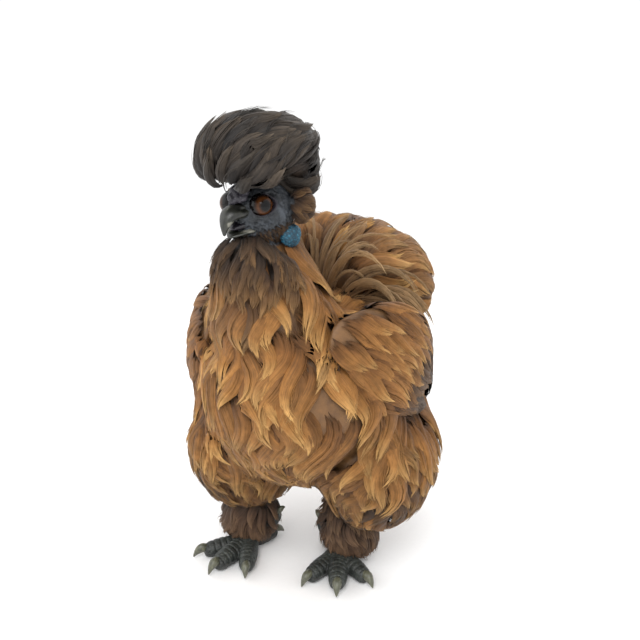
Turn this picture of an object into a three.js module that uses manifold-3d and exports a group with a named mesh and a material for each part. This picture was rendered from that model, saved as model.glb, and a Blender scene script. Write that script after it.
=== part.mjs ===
// Silkie chicken standing on both feet, life size, in millimetres.
// The bird faces -Y, its left side is +X and up is +Z. It turns its head a little to its right.
import * as THREE from "three";
import { mergeVertices } from "three/addons/utils/BufferGeometryUtils.js";
import Module from "manifold-3d";

const wasm = await Module();
wasm.setup();

const V = (x, y, z) => new THREE.Vector3(x, y, z);
const UP = V(0, 0, 1);
const LEFT = V(1, 0, 0);
const SIDES = [["left", 1], ["right", -1]];
const TURN = 2 * Math.PI;

// Driving dimensions
const GAP = 0.3; // left clear between two nodes that touch
const CLEARANCE = GAP * 1.2; // a node is grown by this before another is cut by it
const CREST_TOP = 350; // floor to the top of the crest
const EYE_LEVEL = CREST_TOP - 62;
const MIDLINE = 4; // the torso leans a little over the left foot
const EYES_AT = V(-4, -54, EYE_LEVEL); // halfway between the eyes
const HEAD_TURN = THREE.MathUtils.degToRad(-10); // to the bird's right
const EYE_SPREAD = 12.4; // from the head's middle to an eyeball's centre
const EYE_RADIUS = 8;
const TOE_RADIUS = 7.2;
const TOE_SIDES = 6;
const TOE_RINGS = 9; // every other one carries a scute
const SCUTE_RISE = 0.14; // how far a scute stands up, as a share of the toe's radius
const CORE_DEPTH = 13; // from the tips of the body's locks down to the core that they grow from
const ROOT_DEPTH = 7; // how far a lock's root lies below the surface of the core
const ROOT_RISE = 2.5; // and how far above it the lock lies one step further
const SHEET_GAP = 0.02; // by which two sheets of one surface that touch are drawn apart
const WELD = 0.001; // corners of a node that are closer than this become one
const SLICES = 40; // slices of a form that a distance is taken from

// The value at the share s of a list that is spread evenly from 0 to 1, by a smooth curve
function along(values, s) {
  const place = THREE.MathUtils.clamp(s, 0, 1) * (values.length - 1);
  const i = Math.min(Math.floor(place), values.length - 2);
  const f = place - i;
  const a = values[Math.max(i - 1, 0)];
  const b = values[i];
  const c = values[i + 1];
  const d = values[Math.min(i + 2, values.length - 1)];
  return b + 0.5 * f * (c - a + f * (2 * a - 5 * b + 4 * c - d + f * (3 * (b - c) + d - a)));
}

const away = V(0, 0, 0);
const edge = new THREE.Line3();

// A rounded body along a bent spine: an oval of half-widths wide and deep at each share s of its length.
// full is 0.5 for ends as round as an egg's, and less for blunter ones.
class Form {
  constructor({ spine, wide, deep, side = LEFT, full = 0.5, relief = () => 1 }) {
    Object.assign(this, { wide, deep, side, full, relief });
    this.curve = new THREE.CatmullRomCurve3(spine);
  }
  frame(s) {
    const ahead = this.curve.getTangent(s);
    const across = this.side.clone().addScaledVector(ahead, -this.side.dot(ahead)).normalize();
    return { centre: this.curve.getPoint(s), across, out: across.clone().cross(ahead) };
  }
  point(s, turn) {
    const { centre, across, out } = this.frame(s);
    const round = Math.pow(Math.max(4 * s * (1 - s), 0), this.full) * this.relief(s, turn);
    return centre
      .addScaledVector(across, Math.cos(turn) * along(this.wide, s) * round)
      .addScaledVector(out, Math.sin(turn) * along(this.deep, s) * round);
  }
  geometry(around, rings) {
    return mapped(new THREE.SphereGeometry(1, around, rings), (p) =>
      this.point((1 - p.y) / 2, Math.atan2(-p.z, p.x)));
  }
  // How far a point lies from the form's surface, less than 0 inside it
  distance(p) {
    this.slices ??= Array.from({ length: SLICES + 1 }, (_, i) => {
      const s = THREE.MathUtils.clamp(i / SLICES, 0.002, 0.998);
      const round = Math.pow(4 * s * (1 - s), this.full);
      const [w, d] = [along(this.wide, s) * round, along(this.deep, s) * round];
      return { ...this.frame(s), w, d, rim: V(0, 0, 0) };
    });
    this.step ??= this.curve.getLength() / SLICES;
    let [nearest, far, level, inside] = [0, Infinity, Infinity, false];
    for (let i = 0; i <= SLICES; i++) {
      const { centre, across, out, w, d, rim } = this.slices[i];
      away.subVectors(p, centre);
      const [x, y] = [away.dot(across), away.dot(out)];
      const reach = Math.hypot(x / w, y / d) || 1e-9;
      rim.copy(centre).addScaledVector(across, x / reach).addScaledVector(out, y / reach);
      const gap = rim.distanceToSquared(p);
      if (gap < far) [far, nearest] = [gap, i];
      const height = away.lengthSq() - x * x - y * y;
      if (height < level) [level, inside] = [height, reach < 1 && height < this.step * this.step];
    }
    for (const i of [nearest - 1, nearest + 1]) {
      if (i < 0 || i > SLICES) continue;
      edge.set(this.slices[nearest].rim, this.slices[i].rim);
      far = Math.min(far, edge.closestPointToPoint(p, true, away).distanceToSquared(p));
    }
    return inside ? -Math.sqrt(far) : Math.sqrt(far);
  }
}

// A seeded source of numbers from 0 to 1, so that every build is alike
function dice(seed) {
  let state = seed >>> 0;
  return () => {
    state = (state + 0x6d2b79f5) >>> 0;
    let t = Math.imul(state ^ (state >>> 15), state | 1);
    t ^= t + Math.imul(t ^ (t >>> 7), t | 61);
    return ((t ^ (t >>> 14)) >>> 0) / 4294967296;
  };
}

const surfaceOf = (form) => (p) => form.distance(p);

// The distance to several forms whose joins are rounded off over a width of soft
const blend = (forms, soft) => (p) => forms.reduce((near, form) => {
  const far = form.distance(p);
  const share = Math.max(soft - Math.abs(near - far), 0) / soft;
  return Math.min(near, far) - (share * share * soft) / 4;
}, 1e6);

function normalAt(field, p) {
  const here = field(p);
  const slope = (axis) => field(p.clone().add(axis)) - here;
  return V(slope(V(1, 0, 0)), slope(V(0, 1, 0)), slope(V(0, 0, 1))).normalize();
}

// How far a swollen lock's root and pointed tip move out, as a multiple of its margin
const ROOT_REACH = 2;
const TIP_REACH = 4;

// The outline of a lock, as a share of its half-width: broadest at a third of its length, with a pointed tip
const LOCK = (t) => Math.pow(Math.sin(Math.PI * (0.2 + 0.8 * t)), 0.8);
// A feather's vane is broadest near its tip, which is round
const VANE = (t) => Math.sqrt(Math.max(1 - t ** 5, 0)) * (0.45 + 0.55 * Math.min(t * 2, 1));
// A strap keeps its width until it narrows to a point
const STRAP = (t) => Math.pow(Math.max(1 - t * t, 0), 0.7) * (0.6 + 0.4 * Math.min(t * 3, 1));

// A flat tapered lock with a ridge along its back. It roots below the bed that it grows from, which lies at
// a depth under the surface of a field, follows its lie over that surface and ends lift above it.
function lock(field, root, shape) {
  const { lie, length, width, thick, bed, lift = 0, wave = 0, phase = 0, steps = 4, outline = LOCK } = shape;
  const stations = [];
  let p = root.clone();
  for (let i = 0; i <= steps; i++) {
    const t = i / steps;
    const rising = THREE.MathUtils.mapLinear(i, 1, steps, ROOT_RISE - bed, lift);
    const height = i === 0 ? -bed - ROOT_DEPTH : rising;
    for (let k = 0; k < 2; k++) p.addScaledVector(normalAt(field, p), height - field(p));
    const normal = normalAt(field, p);
    const ahead = lie(p, normal);
    ahead.addScaledVector(normal, -ahead.dot(normal)).normalize();
    ahead.applyAxisAngle(normal, wave * Math.sin(2 * Math.PI * (t * 0.9 + phase)));
    stations.push({ centre: p.clone(), normal });
    p = p.clone().addScaledVector(ahead, length / steps);
  }
  stations.forEach((station, i) => {
    const ahead = stations[Math.min(i + 1, steps)].centre.clone().sub(stations[Math.max(i - 1, 0)].centre);
    station.across = ahead.clone().cross(station.normal).normalize();
    station.up = station.across.clone().cross(ahead).normalize();
  });
  // Its section is a flat triangle, which a margin moves out face by face, so that its edges run out further
  const slope = (1.5 * thick) / (Math.sin(TURN / 3) * width);
  const mitre = Math.hypot(1, slope);
  const heading = (from, to) => stations[to].centre.clone().sub(stations[from].centre).normalize();
  const ends = {
    0: heading(1, 0).multiplyScalar(ROOT_REACH),
    [steps]: heading(steps - 1, steps).multiplyScalar(TIP_REACH),
  };
  const shaped = (margin) => mapped(new THREE.ConeGeometry(1, 1, 3, steps), (q) => {
    const i = Math.round((q.y + 0.5) * steps);
    const { across, up } = stations[i];
    const centre = stations[i].centre.clone().addScaledVector(ends[i] ?? UP, i in ends ? margin : 0);
    const size = Math.hypot(q.x, q.z);
    if (size < 1e-6) return centre;
    const share = outline(q.y + 0.5) / size;
    const aside = q.z > 0 ? 0 : (Math.sign(q.x) * margin * (1 + mitre)) / slope;
    const above = q.z > 0 ? margin * mitre : -margin;
    return centre
      .addScaledVector(across, q.x * share * width + aside)
      .addScaledVector(up, q.z * share * thick + above);
  });
  const geometry = shaped(0);
  geometry.userData.swollen = shaped;
  return geometry;
}

// The last place where a ray from a centre leaves the surface of a field
function surfaceAt(field, centre, direction) {
  const p = centre.clone().addScaledVector(direction, 220);
  for (let k = 0; k < 60 && field(p) > 0.05; k++) p.addScaledVector(direction, -field(p));
  return p;
}

// Roots side by side in a ring on the surface of a field, seen from a centre at a tilt above the level, each
// with the room that it has
function ring(field, centre, number, { tilt = 0, from = 0, to = TURN, skew = 0.5 } = {}) {
  const at = (k) => {
    const angle = from + ((to - from) * (k + skew)) / number;
    const level = V(Math.cos(angle), Math.sin(angle), 0).multiplyScalar(Math.cos(tilt));
    return surfaceAt(field, centre, level.setZ(Math.sin(tilt)));
  };
  return rooms(at, number);
}

// Roots in a tier round a form, at a share of its length and between two turns
function tier(over, s, number, first = 0, last = TURN, skew = 0.5) {
  return rooms((k) => over.point(s, first + ((last - first) * (k + skew)) / number), number);
}

const rooms = (at, number) =>
  Array.from({ length: number }, (_, k) => ({ root: at(k), room: at(k - 0.5).distanceTo(at(k + 0.5)) }));

// Locks that grow from roots, except where other forms cover them. fill is a lock's width as a share of its
// room, and floor the height below which they are shortened.
function grow(field, roots, { seed, fill = 1, covered = [], swing = 0.1, floor = -200, ...shape }) {
  const roll = dice(seed);
  const vary = (spread) => 1 + spread * (2 * roll() - 1);
  const short = ({ z }) => THREE.MathUtils.clamp((z - floor) / shape.length, 0.45, 1);
  return roots.filter(({ root }) => !covered.some(([form, margin]) => form.distance(root) < -margin))
    .map(({ root, room }) => lock(field, root, {
      ...shape,
      length: shape.length * vary(0.1) * short(root),
      width: 0.57 * room * fill * vary(0.06),
      lift: (shape.lift ?? 0) * vary(0.5),
      phase: (root.x + root.z) / 150 + swing * roll(),
    }));
}

// A geometry with each of its points moved by a function
function mapped(geometry, move) {
  const place = geometry.getAttribute("position");
  const p = V(0, 0, 0);
  for (let i = 0; i < place.count; i++) {
    const q = move(p.fromBufferAttribute(place, i));
    place.setXYZ(i, q.x, q.y, q.z);
  }
  return geometry;
}

// A geometry as a solid, swollen by grow along its normals, or in its own way where it has one
function solid(geometry, grow = 0, weld = 1e-4) {
  if (grow && geometry.userData.swollen) return solid(geometry.userData.swollen(grow));
  const bare = new THREE.BufferGeometry();
  bare.setAttribute("position", geometry.getAttribute("position").clone());
  bare.setIndex(geometry.index);
  const merged = mergeVertices(bare, weld);
  const order = merged.index.array;
  const kept = [];
  for (let i = 0; i < order.length; i += 3) {
    const [a, b, c] = [order[i], order[i + 1], order[i + 2]];
    if (a !== b && b !== c && a !== c) kept.push(a, b, c);
  }
  merged.setIndex(kept);
  if (grow) {
    merged.computeVertexNormals();
    const normal = merged.getAttribute("normal");
    let i = 0;
    mapped(merged, (p) => p.clone().addScaledVector(V(0, 0, 0).fromBufferAttribute(normal, i++), grow));
  }
  return new wasm.Manifold(new wasm.Mesh({
    numProp: 3,
    vertProperties: merged.getAttribute("position").array,
    triVerts: new Uint32Array(kept),
  }));
}

// The geometry of a form that lies a depth below another form's surface
function coreOf(form, depth, around = 16, rings = 10) {
  const spine = form.curve.points.map((p) => p.clone());
  const shorten = (end, next) => end.lerp(next, Math.min(depth / end.distanceTo(next), 0.8));
  shorten(spine[0], spine[1]);
  shorten(spine.at(-1), spine.at(-2));
  const less = (sizes) => sizes.map((size) => size - depth);
  const { side, full } = form;
  const core = new Form({ spine, wide: less(form.wide), deep: less(form.deep), side, full });
  return core.geometry(around, rings);
}

const united = (solids) => solids.reduce((all, one) => all.add(one));

// Places a geometry that was made about the point between the eyes, looking along -Y
const headFrame = new THREE.Matrix4().makeRotationZ(HEAD_TURN).setPosition(EYES_AT);
const inHead = (x, y, z) => V(x, y, z).applyMatrix4(headFrame);
const headForm = ({ spine, side = LEFT, ...rest }) => new Form({
  spine: spine.map((p) => inHead(...p)),
  side: side.clone().transformDirection(headFrame),
  ...rest,
});

const torsoForm = new Form({
  spine: [V(MIDLINE - 2, -76, 150), V(MIDLINE, -36, 143), V(MIDLINE, 6, 136), V(MIDLINE, 50, 130),
    V(MIDLINE, 92, 126), V(MIDLINE, 132, 124)],
  wide: [64, 88, 95, 92, 82, 54],
  deep: [58, 82, 89, 85, 73, 48],
  full: 0.42,
});

const neckForm = new Form({
  spine: [V(3, -20, 166), V(2, -31, 206), V(0, -35, 242), V(-2, -30, 284)],
  wide: [52, 50, 38, 25],
  deep: [44, 44, 39, 28],
  full: 0.34,
});

const crestForm = headForm({
  spine: [[6, -36, 15], [5, -13, 28], [4, 20, 30], [8, 54, -2]],
  wide: [39, 41, 42, 36],
  deep: [26, 31, 32, 31],
  full: 0.34,
});

const headCore = headForm({
  spine: [[0, -13, -5], [0, -3, -5], [0, 16, -5], [0, 38, -3]],
  wide: [14, 18.5, 26, 22],
  deep: [14, 20, 24, 20],
  full: 0.4,
});

const beardForm = headForm({
  spine: [[0, 0, -18], [1, -1, -34], [2, 1, -52], [4, 2, -76]],
  wide: [19, 25, 24, 14],
  deep: [13, 17, 18, 12],
  full: 0.4,
});

const muffForm = (way) => headForm({
  spine: [[way * 22, 8, 3], [way * 29, 19, -4], [way * 27, 31, -11]],
  wide: [8, 11, 8],
  deep: [10, 14, 12],
  full: 0.45,
});

const earlobeForm = (way) => headForm({
  spine: [[way * 20, 9, -21], [way * 23.5, 17, -22.5], [way * 22, 26, -21]],
  wide: [7, 8, 7],
  deep: [3.4, 3.8, 3.4],
  side: UP,
  full: 0.45,
});

const upperBeakForm = headForm({
  spine: [[0, -4, -6], [0, -11, -4.6], [0, -17.5, -6.5], [0, -20.5, -14.5]],
  wide: [11, 9, 6.4, 2],
  deep: [6, 5.6, 4.8, 2],
  full: 0.3,
});

const lowerBeakForm = headForm({
  spine: [[0, -1, -15.5], [0, -10, -17.5], [0, -18, -19.5]],
  wide: [10.5, 7.5, 3],
  deep: [3.5, 2.8, 1.5],
  full: 0.34,
});

const wingForm = (way) => new Form({
  spine: [V(MIDLINE + way * 56, -38, 200), V(MIDLINE + way * 75, -2, 186), V(MIDLINE + way * 85, 42, 162),
    V(MIDLINE + way * 84, 84, 130)],
  wide: [28, 36, 37, 22],
  deep: [10, 12, 11, 7],
  side: V(0, 0.35, 1),
  full: 0.4,
});

const tailForm = new Form({
  spine: [V(MIDLINE, 26, 198), V(MIDLINE, 60, 217), V(MIDLINE, 98, 213), V(MIDLINE + 2, 144, 176)],
  wide: [50, 84, 90, 64],
  deep: [37, 59, 62, 47],
  full: 0.5,
});

// The right leg stands a little ahead of the left one, so its thigh lies further forward and lower
const thighForm = (way) => {
  const ahead = way < 0 ? 10 : 0;
  const drop = way < 0 ? 1 : 0;
  const at = (x, y, z) => V(MIDLINE + way * (x - ahead * 0.7), y - ahead, z - drop);
  return new Form({
    spine: [at(46, 30, 156), at(55, 30, 106), at(56, 24, 72), at(44, 15, 34)],
    wide: [40, 55, 55, 44],
    deep: [50, 66, 64, 46],
    full: 0.36,
  });
};

const LEGS = {
  left: { joint: V(37.5, 10, 13), turn: 22 },
  right: { joint: V(-38.5, -1, 13), turn: -8 },
};

const shankForm = (side) => {
  const { joint } = LEGS[side];
  const way = side === "left" ? 1 : -1;
  return new Form({
    spine: [V(way * 43, 18, 70), V(joint.x + way * 3, joint.y + 10, 44),
      V(joint.x + way * 3, joint.y + 8, 28), V(joint.x + way * 2, joint.y + 3, 11)],
    wide: [22, 23, 23, 24],
    deep: [24, 24, 24, 23],
    full: 0.3,
  });
};

// The bare bottom of the shank, which carries the toes and is hidden in the down
const footRootForm = (side) => {
  const { joint } = LEGS[side];
  return new Form({
    spine: [V(joint.x, joint.y + 3, 36), V(joint.x, joint.y + 1, 22), V(joint.x, joint.y, 7)],
    wide: [8, 8.5, 12],
    deep: [8, 8.5, 11],
    full: 0.3,
  });
};

// Toes: three in front, a hind toe and the breed's fifth toe above it. turn is from the foot's own heading.
const TOES = [
  { name: "inner", turn: -33, length: 41, radius: 0.92 },
  { name: "middle", turn: 0, length: 46, radius: 1 },
  { name: "outer", turn: 34, length: 41, radius: 0.9 },
  { name: "hind", turn: 196, length: 26, radius: 0.8 },
  { name: "fifth", turn: 222, length: 24, radius: 0.62, lifted: 17 },
];

// Side by side, the outer toe of each foot is on its outside
function toeSpine(side, toe) {
  const { joint, turn } = LEGS[side];
  const way = side === "left" ? 1 : -1;
  const heading = THREE.MathUtils.degToRad(turn + way * toe.turn);
  const ahead = V(Math.sin(heading), -Math.cos(heading), 0);
  const r = TOE_RADIUS * toe.radius;
  const { length, lifted } = toe;
  const at = (share, z) => joint.clone().addScaledVector(ahead, share * length).setZ(z);
  if (lifted) return [at(0, 15), at(0.45, lifted - 1), at(0.8, lifted + 4), at(1, lifted + 10)];
  return [at(0, 11), at(0.3, r * 0.9), at(0.65, r * 0.86), at(1, r * 0.8)];
}

// The scutes are plates across the top of a toe, every other ring of it
function scutes(s, turn) {
  const ringNumber = Math.round((Math.acos(1 - 2 * s) / Math.PI) * TOE_RINGS);
  return Math.cos(turn) > 0.2 && ringNumber % 2 ? 1 + SCUTE_RISE : 1;
}

function toeForm(side, toe) {
  const r = TOE_RADIUS * toe.radius;
  return new Form({
    relief: scutes,
    spine: toeSpine(side, toe),
    wide: [r * 1.1, r, r, r * 0.96],
    deep: [r * 1.1, r * 1.04, r * 1.04, r],
    side: V(0.3, 0.2, 0.9),
    full: 0.2,
  });
}

function clawForm(side, toe) {
  const spine = toeSpine(side, toe);
  const end = spine[3];
  const ahead = end.clone().sub(spine[2]).normalize();
  const r = TOE_RADIUS * toe.radius;
  const at = (reach, rise) => end.clone().addScaledVector(ahead, reach).add(V(0, 0, rise));
  return new Form({
    spine: [at(-3, r * 0.35), at(2, r * 0.45), at(6, 0.1 * r), at(9, -r * 0.45)],
    wide: [r * 0.62, r * 0.58, r * 0.38, r * 0.14],
    deep: [r * 0.55, r * 0.5, r * 0.34, r * 0.12],
    side: V(0.3, 0.2, 0.9),
    full: 0.35,
  });
}

// Everything above the floor, to cut the soles flat
const aboveFloor = solid(new THREE.BoxGeometry(800, 800, 800).translate(0, 0, 400));

const eyeGeometry = (way, radius = EYE_RADIUS) =>
  mapped(new THREE.SphereGeometry(radius, 9, 7), (p) => inHead(p.x + way * EYE_SPREAD, p.y, p.z));

// The lie of the plumage: down and back, straight back on top, and in towards the middle low on the breast
function bodyLie(p, normal) {
  const behind = THREE.MathUtils.smoothstep(p.y, -30, 25);
  const top = behind * THREE.MathUtils.smoothstep(normal.z, 0.3, 0.8);
  const low = THREE.MathUtils.smoothstep(140 - p.z, 0, 60) * THREE.MathUtils.smoothstep(-p.y, -20, 30);
  return V(-Math.sign(p.x - MIDLINE) * 0.45 * low, 0.28 * behind + top, -1 + top);
}

const thighs = {};
const wings = {};
const muffs = {};
for (const [side, way] of SIDES) {
  thighs[side] = thighForm(way);
  wings[side] = wingForm(way);
  muffs[side] = muffForm(way);
}
const bodyField = blend([torsoForm, neckForm, thighs.left, thighs.right], 14);

// Each node: its pieces, the nodes that it is cut clear of, and the hollows sunk in it
const nodes = new Map();
const add = (name, slot, pieces, clearOf = [], hollows = []) =>
  nodes.set(name, { slot, pieces, clearOf, hollows });

// An eyelid's rim, round the front of an eyeball
const lidGeometry = (way) => {
  const ring = new THREE.TorusGeometry(7.2, 1.5, 4, 10).rotateY(Math.PI / 2);
  const side = way * (EYE_SPREAD + 4.9);
  return mapped(ring, (p) => inHead(side + p.x + way * p.y * 0.1, p.y * 1.12, p.z * 0.92));
};

// Rings of locks: on a shank, the share of its length and their number; on the tail, the tilt above the
// level, their number, and the first and last angle round its middle
const SHANK_RINGS = [[0.42, 4], [0.68, 6]];
const TAIL_RINGS = [[1.4, 4, 0, TURN], [1, 8, 0, TURN], [0.62, 8, -0.6, Math.PI + 0.6],
  [0.25, 8, -0.3, Math.PI + 0.3]];

// The crest fans out from its parting over the forehead, and the tail's plumes from the middle of the back
const PARTING = inHead(-1, -41, 5);
const crestLie = (p) => p.clone().sub(PARTING).normalize().add(V(0, 0.2, 0));
const tailLie = (p) => V((p.x - MIDLINE) / 55, (p.y - 42) / 55, -0.85);

// The body's locks, in rings from the neck down. Each belongs to the part that it roots on.
const bodyCovers = [[headCore, 0], [beardForm, -5], [crestForm, 0], [muffs.left, 2], [muffs.right, 2],
  [wings.left, -1], [wings.right, -1], [tailForm, 10]];
const bodyParts = { neck: neckForm, torso: torsoForm, thigh_left: thighs.left, thigh_right: thighs.right };
const bodyRoots = [
  [266, -28, 10], [244, -28, 10], [222, -22, 12], [200, -10, 14], [176, 6, 16], [148, 20, 18], [119, 20, 17],
  [91, 20, 16], [68, 20, 12],
].flatMap(([z, y, number], i) => ring(bodyField, V(MIDLINE, y, z), number, { skew: 0.5 * (i % 2) }));
for (const [side, way] of SIDES) {
  bodyRoots.push(...ring(surfaceOf(thighs[side]), V(MIDLINE + way * 46, 18, 52), 8, { skew: 0 }));
}
const nearestPart = (p) => Object.keys(bodyParts).reduce((a, b) =>
  (bodyParts[b].distance(p) < bodyParts[a].distance(p) ? b : a));
const rootsOn = (part) => bodyRoots.filter(({ root }) => nearestPart(root) === part);
const bodyLocks = (part, seed) => grow(bodyField, rootsOn(part), {
  seed, length: 56, thick: 2.8, fill: 0.8, bed: CORE_DEPTH, lift: 3.5, wave: 0.22, steps: 3,
  lie: bodyLie, covered: bodyCovers, floor: 20,
});

for (const [side, way] of SIDES) add("eye_" + side, "eye", [eyeGeometry(way)]);
add("head", "skin", [headCore.geometry(16, 10), lidGeometry(1), lidGeometry(-1)], ["eye_left", "eye_right"]);
// The comb's bulbs: each one's middle and radius
const COMB_BULBS = [[-3.4, -11, 6, 3.7], [3, -12, 5.5, 3.5], [0, -14, 3, 3.2], [-4, -6, 10, 3.9],
  [3.8, -7, 10, 3.9]];
add("comb", "comb", COMB_BULBS.map(([x, y, z, r]) =>
  mapped(new THREE.SphereGeometry(r, 6, 4), (p) => inHead(p.x + x, p.y + y, p.z + z))), ["head"]);
const NOSTRIL_SIZE = V(1.8, 2.6, 1.2);
const nostrils = SIDES.map(([, way]) => mapped(new THREE.SphereGeometry(1, 6, 4), (p) =>
  inHead(...p.multiply(NOSTRIL_SIZE).add(V(way * 6.8, -13, -2.2)))));
add("beak_upper", "beak", [upperBeakForm.geometry(10, 8)], ["head", "comb"], nostrils);
add("beak_lower", "beak", [lowerBeakForm.geometry(10, 7)], ["head", "beak_upper"]);
for (const [side, way] of SIDES) {
  add("earlobe_" + side, "earlobe", [earlobeForm(way).geometry(10, 7)], ["head"]);
  const back = LEFT.clone().multiplyScalar(way * 0.35).add(V(0, 1, -0.5));
  add("muff_" + side, "dark_down", [
    coreOf(muffs[side], 3, 6, 4),
    ...grow(surfaceOf(muffs[side]), tier(muffs[side], 0.2, 5),
      { seed: 11 + way, length: 22, thick: 1.6, bed: 4, lift: 1, fill: 0.75, steps: 2,
        covered: [[headCore, 0]], lie: () => back.clone() }),
  ], ["head", "earlobe_" + side, "eye_" + side]);
}
add("crest", "crest", [
  coreOf(crestForm, 11, 9, 6),
  ...grow(surfaceOf(crestForm), [[0.04, 5], [0.26, 7], [0.5, 7], [0.74, 5]]
    .flatMap(([s, number], i) => tier(crestForm, s, number, 0, TURN, 0.5 * (i % 2))),
    { seed: 7, length: 56, thick: 3, bed: 11, fill: 0.8, lift: 2.5, wave: 0.2, steps: 3,
      covered: [[headCore, -4]], lie: crestLie }),
], ["head", "comb", "muff_left", "muff_right"]);
const beardField = blend([beardForm, neckForm], 12);
add("beard", "dark_down", [
  coreOf(beardForm, 5, 7, 5),
  ...grow(beardField, [[-31, 5], [-44, 5]].flatMap(([z, number], i) =>
    ring(beardField, inHead(2, 6, z), number, { from: -2.9, to: -0.3, skew: i % 2 ? 0.3 : 0.6 })),
    { seed: 8, length: 38, thick: 2.6, bed: 5, fill: 0.8, lift: 3, steps: 3, wave: 0.3,
      covered: [[headCore, 0]], lie: () => V(0, 0.1, -1) }),
], ["head", "beak_lower", "earlobe_left", "earlobe_right", "muff_left", "muff_right"]);
add("neck", "plumage", [
  coreOf(neckForm, 12, 8, 5),
  ...bodyLocks("neck", 6),
], ["head", "beard", "beak_lower", "crest", "muff_left", "muff_right", "earlobe_left", "earlobe_right"]);
add("torso", "plumage", [
  coreOf(torsoForm, CORE_DEPTH, 10, 7),
  ...bodyLocks("torso", 2),
], ["neck"]);
for (const [side, way] of SIDES) {
  const foot = "foot_" + side;
  const claws = TOES.map((toe, i) => ["claw", side, i + 1].join("_"));
  add(foot, "scale", [
    footRootForm(side).geometry(7, 4),
    ...TOES.map((toe) => toeForm(side, toe).geometry(TOE_SIDES, TOE_RINGS)),
  ]);
  TOES.forEach((toe, i) => add(claws[i], "claw", [clawForm(side, toe).geometry(5, 3)], [foot]));
  const [wing, thigh, shank] = [wings[side], thighs[side], shankForm(side)];
  const outer = (-way * Math.PI) / 2;
  add("wing_" + side, "wing", [
    coreOf(wing, 3.5, 10, 6),
    ...grow(surfaceOf(wing), [[0.08, 2], [0.28, 3], [0.48, 4], [0.64, 4]].flatMap(([s, number], i) =>
      tier(wing, s, number, outer - 1.5, outer + 1.5)),
      { seed: 40 + way, length: 54, thick: 1.6, bed: 3.5, fill: 0.9, lift: 3, steps: 3, outline: VANE,
        lie: (p) => wing.curve.getTangent(0.7) }),
  ], ["torso", "neck"]);
  add("thigh_" + side, "plumage", [
    coreOf(thigh, CORE_DEPTH - 2, 9, 6),
    ...bodyLocks("thigh_" + side, 20 + way),
  ], ["torso", "wing_" + side, foot, ...claws, ...(side === "right" ? ["thigh_left"] : [])]);
  add("shank_" + side, "shank", [
    coreOf(shank, 7, 7, 4),
    ...grow(surfaceOf(shank), SHANK_RINGS.flatMap(([s, number], i) =>
      ring(surfaceOf(shank), shank.curve.getPoint(s), number, { skew: 0.5 * i })),
      { seed: 30 + way, length: 26, thick: 2.4, bed: 7, fill: 0.8, lift: 6, steps: 3, wave: 0.2,
        covered: [[thigh, 4]], lie: () => V(way * 0.35, 0.3, -1) }),
  ], ["thigh_" + side, "torso", foot, ...claws]);
}
add("tail", "tail", [
  coreOf(tailForm, 17, 9, 6),
  ...grow(surfaceOf(tailForm), TAIL_RINGS.flatMap(([tilt, number, from, to], i) =>
    ring(surfaceOf(tailForm), V(MIDLINE, 62, 196), number, { tilt, from, to, skew: 0.5 * (i % 2) })),
    { seed: 9, length: 70, thick: 2.2, bed: 16, lift: 4, wave: 0.15, outline: STRAP, fill: 0.7, steps: 3,
      covered: [[torsoForm, 4], [neckForm, 2], [wings.left, 0], [wings.right, 0]], lie: tailLie }),
], ["torso", "neck", "crest", "wing_left", "wing_right", "thigh_left", "thigh_right"]);

const MATERIALS = {
  plumage: [0xb5793f, 0.85, 0],
  tail: [0x8a6644, 0.8, 0],
  wing: [0xa9713d, 0.85, 0],
  crest: [0x4a4038, 0.75, 0],
  dark_down: [0x5d4836, 0.8, 0],
  shank: [0x5b4332, 0.85, 0],
  skin: [0x4c5359, 0.6, 0],
  comb: [0x3f4549, 0.55, 0],
  beak: [0x50544f, 0.45, 0],
  earlobe: [0x2e7f9a, 0.5, 0],
  eye: [0x3a1c0c, 0.1, 0],
  scale: [0x3a3f3c, 0.6, 0],
  claw: [0x565a4c, 0.5, 0],
};

const materials = Object.fromEntries(Object.entries(MATERIALS).map(([slot, [color, roughness, metalness]]) =>
  [slot, new THREE.MeshStandardMaterial({ name: slot, color, roughness, metalness })]));

function geometryOf(body) {
  const { vertProperties, triVerts } = body.getMesh();
  const geometry = new THREE.BufferGeometry();
  geometry.setAttribute("position", new THREE.BufferAttribute(vertProperties, 3));
  geometry.setIndex(new THREE.BufferAttribute(triVerts, 1));
  return geometry;
}

// Draws in corners that lie in one place but belong to two sheets of a surface, so the sheets don't touch
function parted(geometry) {
  geometry.computeVertexNormals();
  const place = geometry.getAttribute("position");
  const normal = geometry.getAttribute("normal");
  const corner = (attribute, i) => V(0, 0, 0).fromBufferAttribute(attribute, i);
  const cells = Map.groupBy(Array.from({ length: place.count }, (_, i) => i), (i) =>
    corner(place, i).divideScalar(2 * WELD).round().toArray().join());
  for (const shared of cells.values()) {
    if (shared.length === 1) continue;
    for (const i of shared) {
      place.setXYZ(i, ...corner(place, i).addScaledVector(corner(normal, i), -SHEET_GAP).toArray());
    }
  }
  return geometry;
}

// The largest closed piece of a solid, with its corners welded and any sealed hollow filled
function largest(whole) {
  const biggest = (body) => body.decompose().sort((a, b) => b.volume() - a.volume())[0];
  return biggest(solid(parted(geometryOf(biggest(whole))), 0, WELD));
}

const grownNodes = new Map();
function grown(name) {
  if (!grownNodes.has(name)) {
    grownNodes.set(name, united(nodes.get(name).pieces.map((g) => solid(g, CLEARANCE))));
  }
  return grownNodes.get(name);
}

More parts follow.
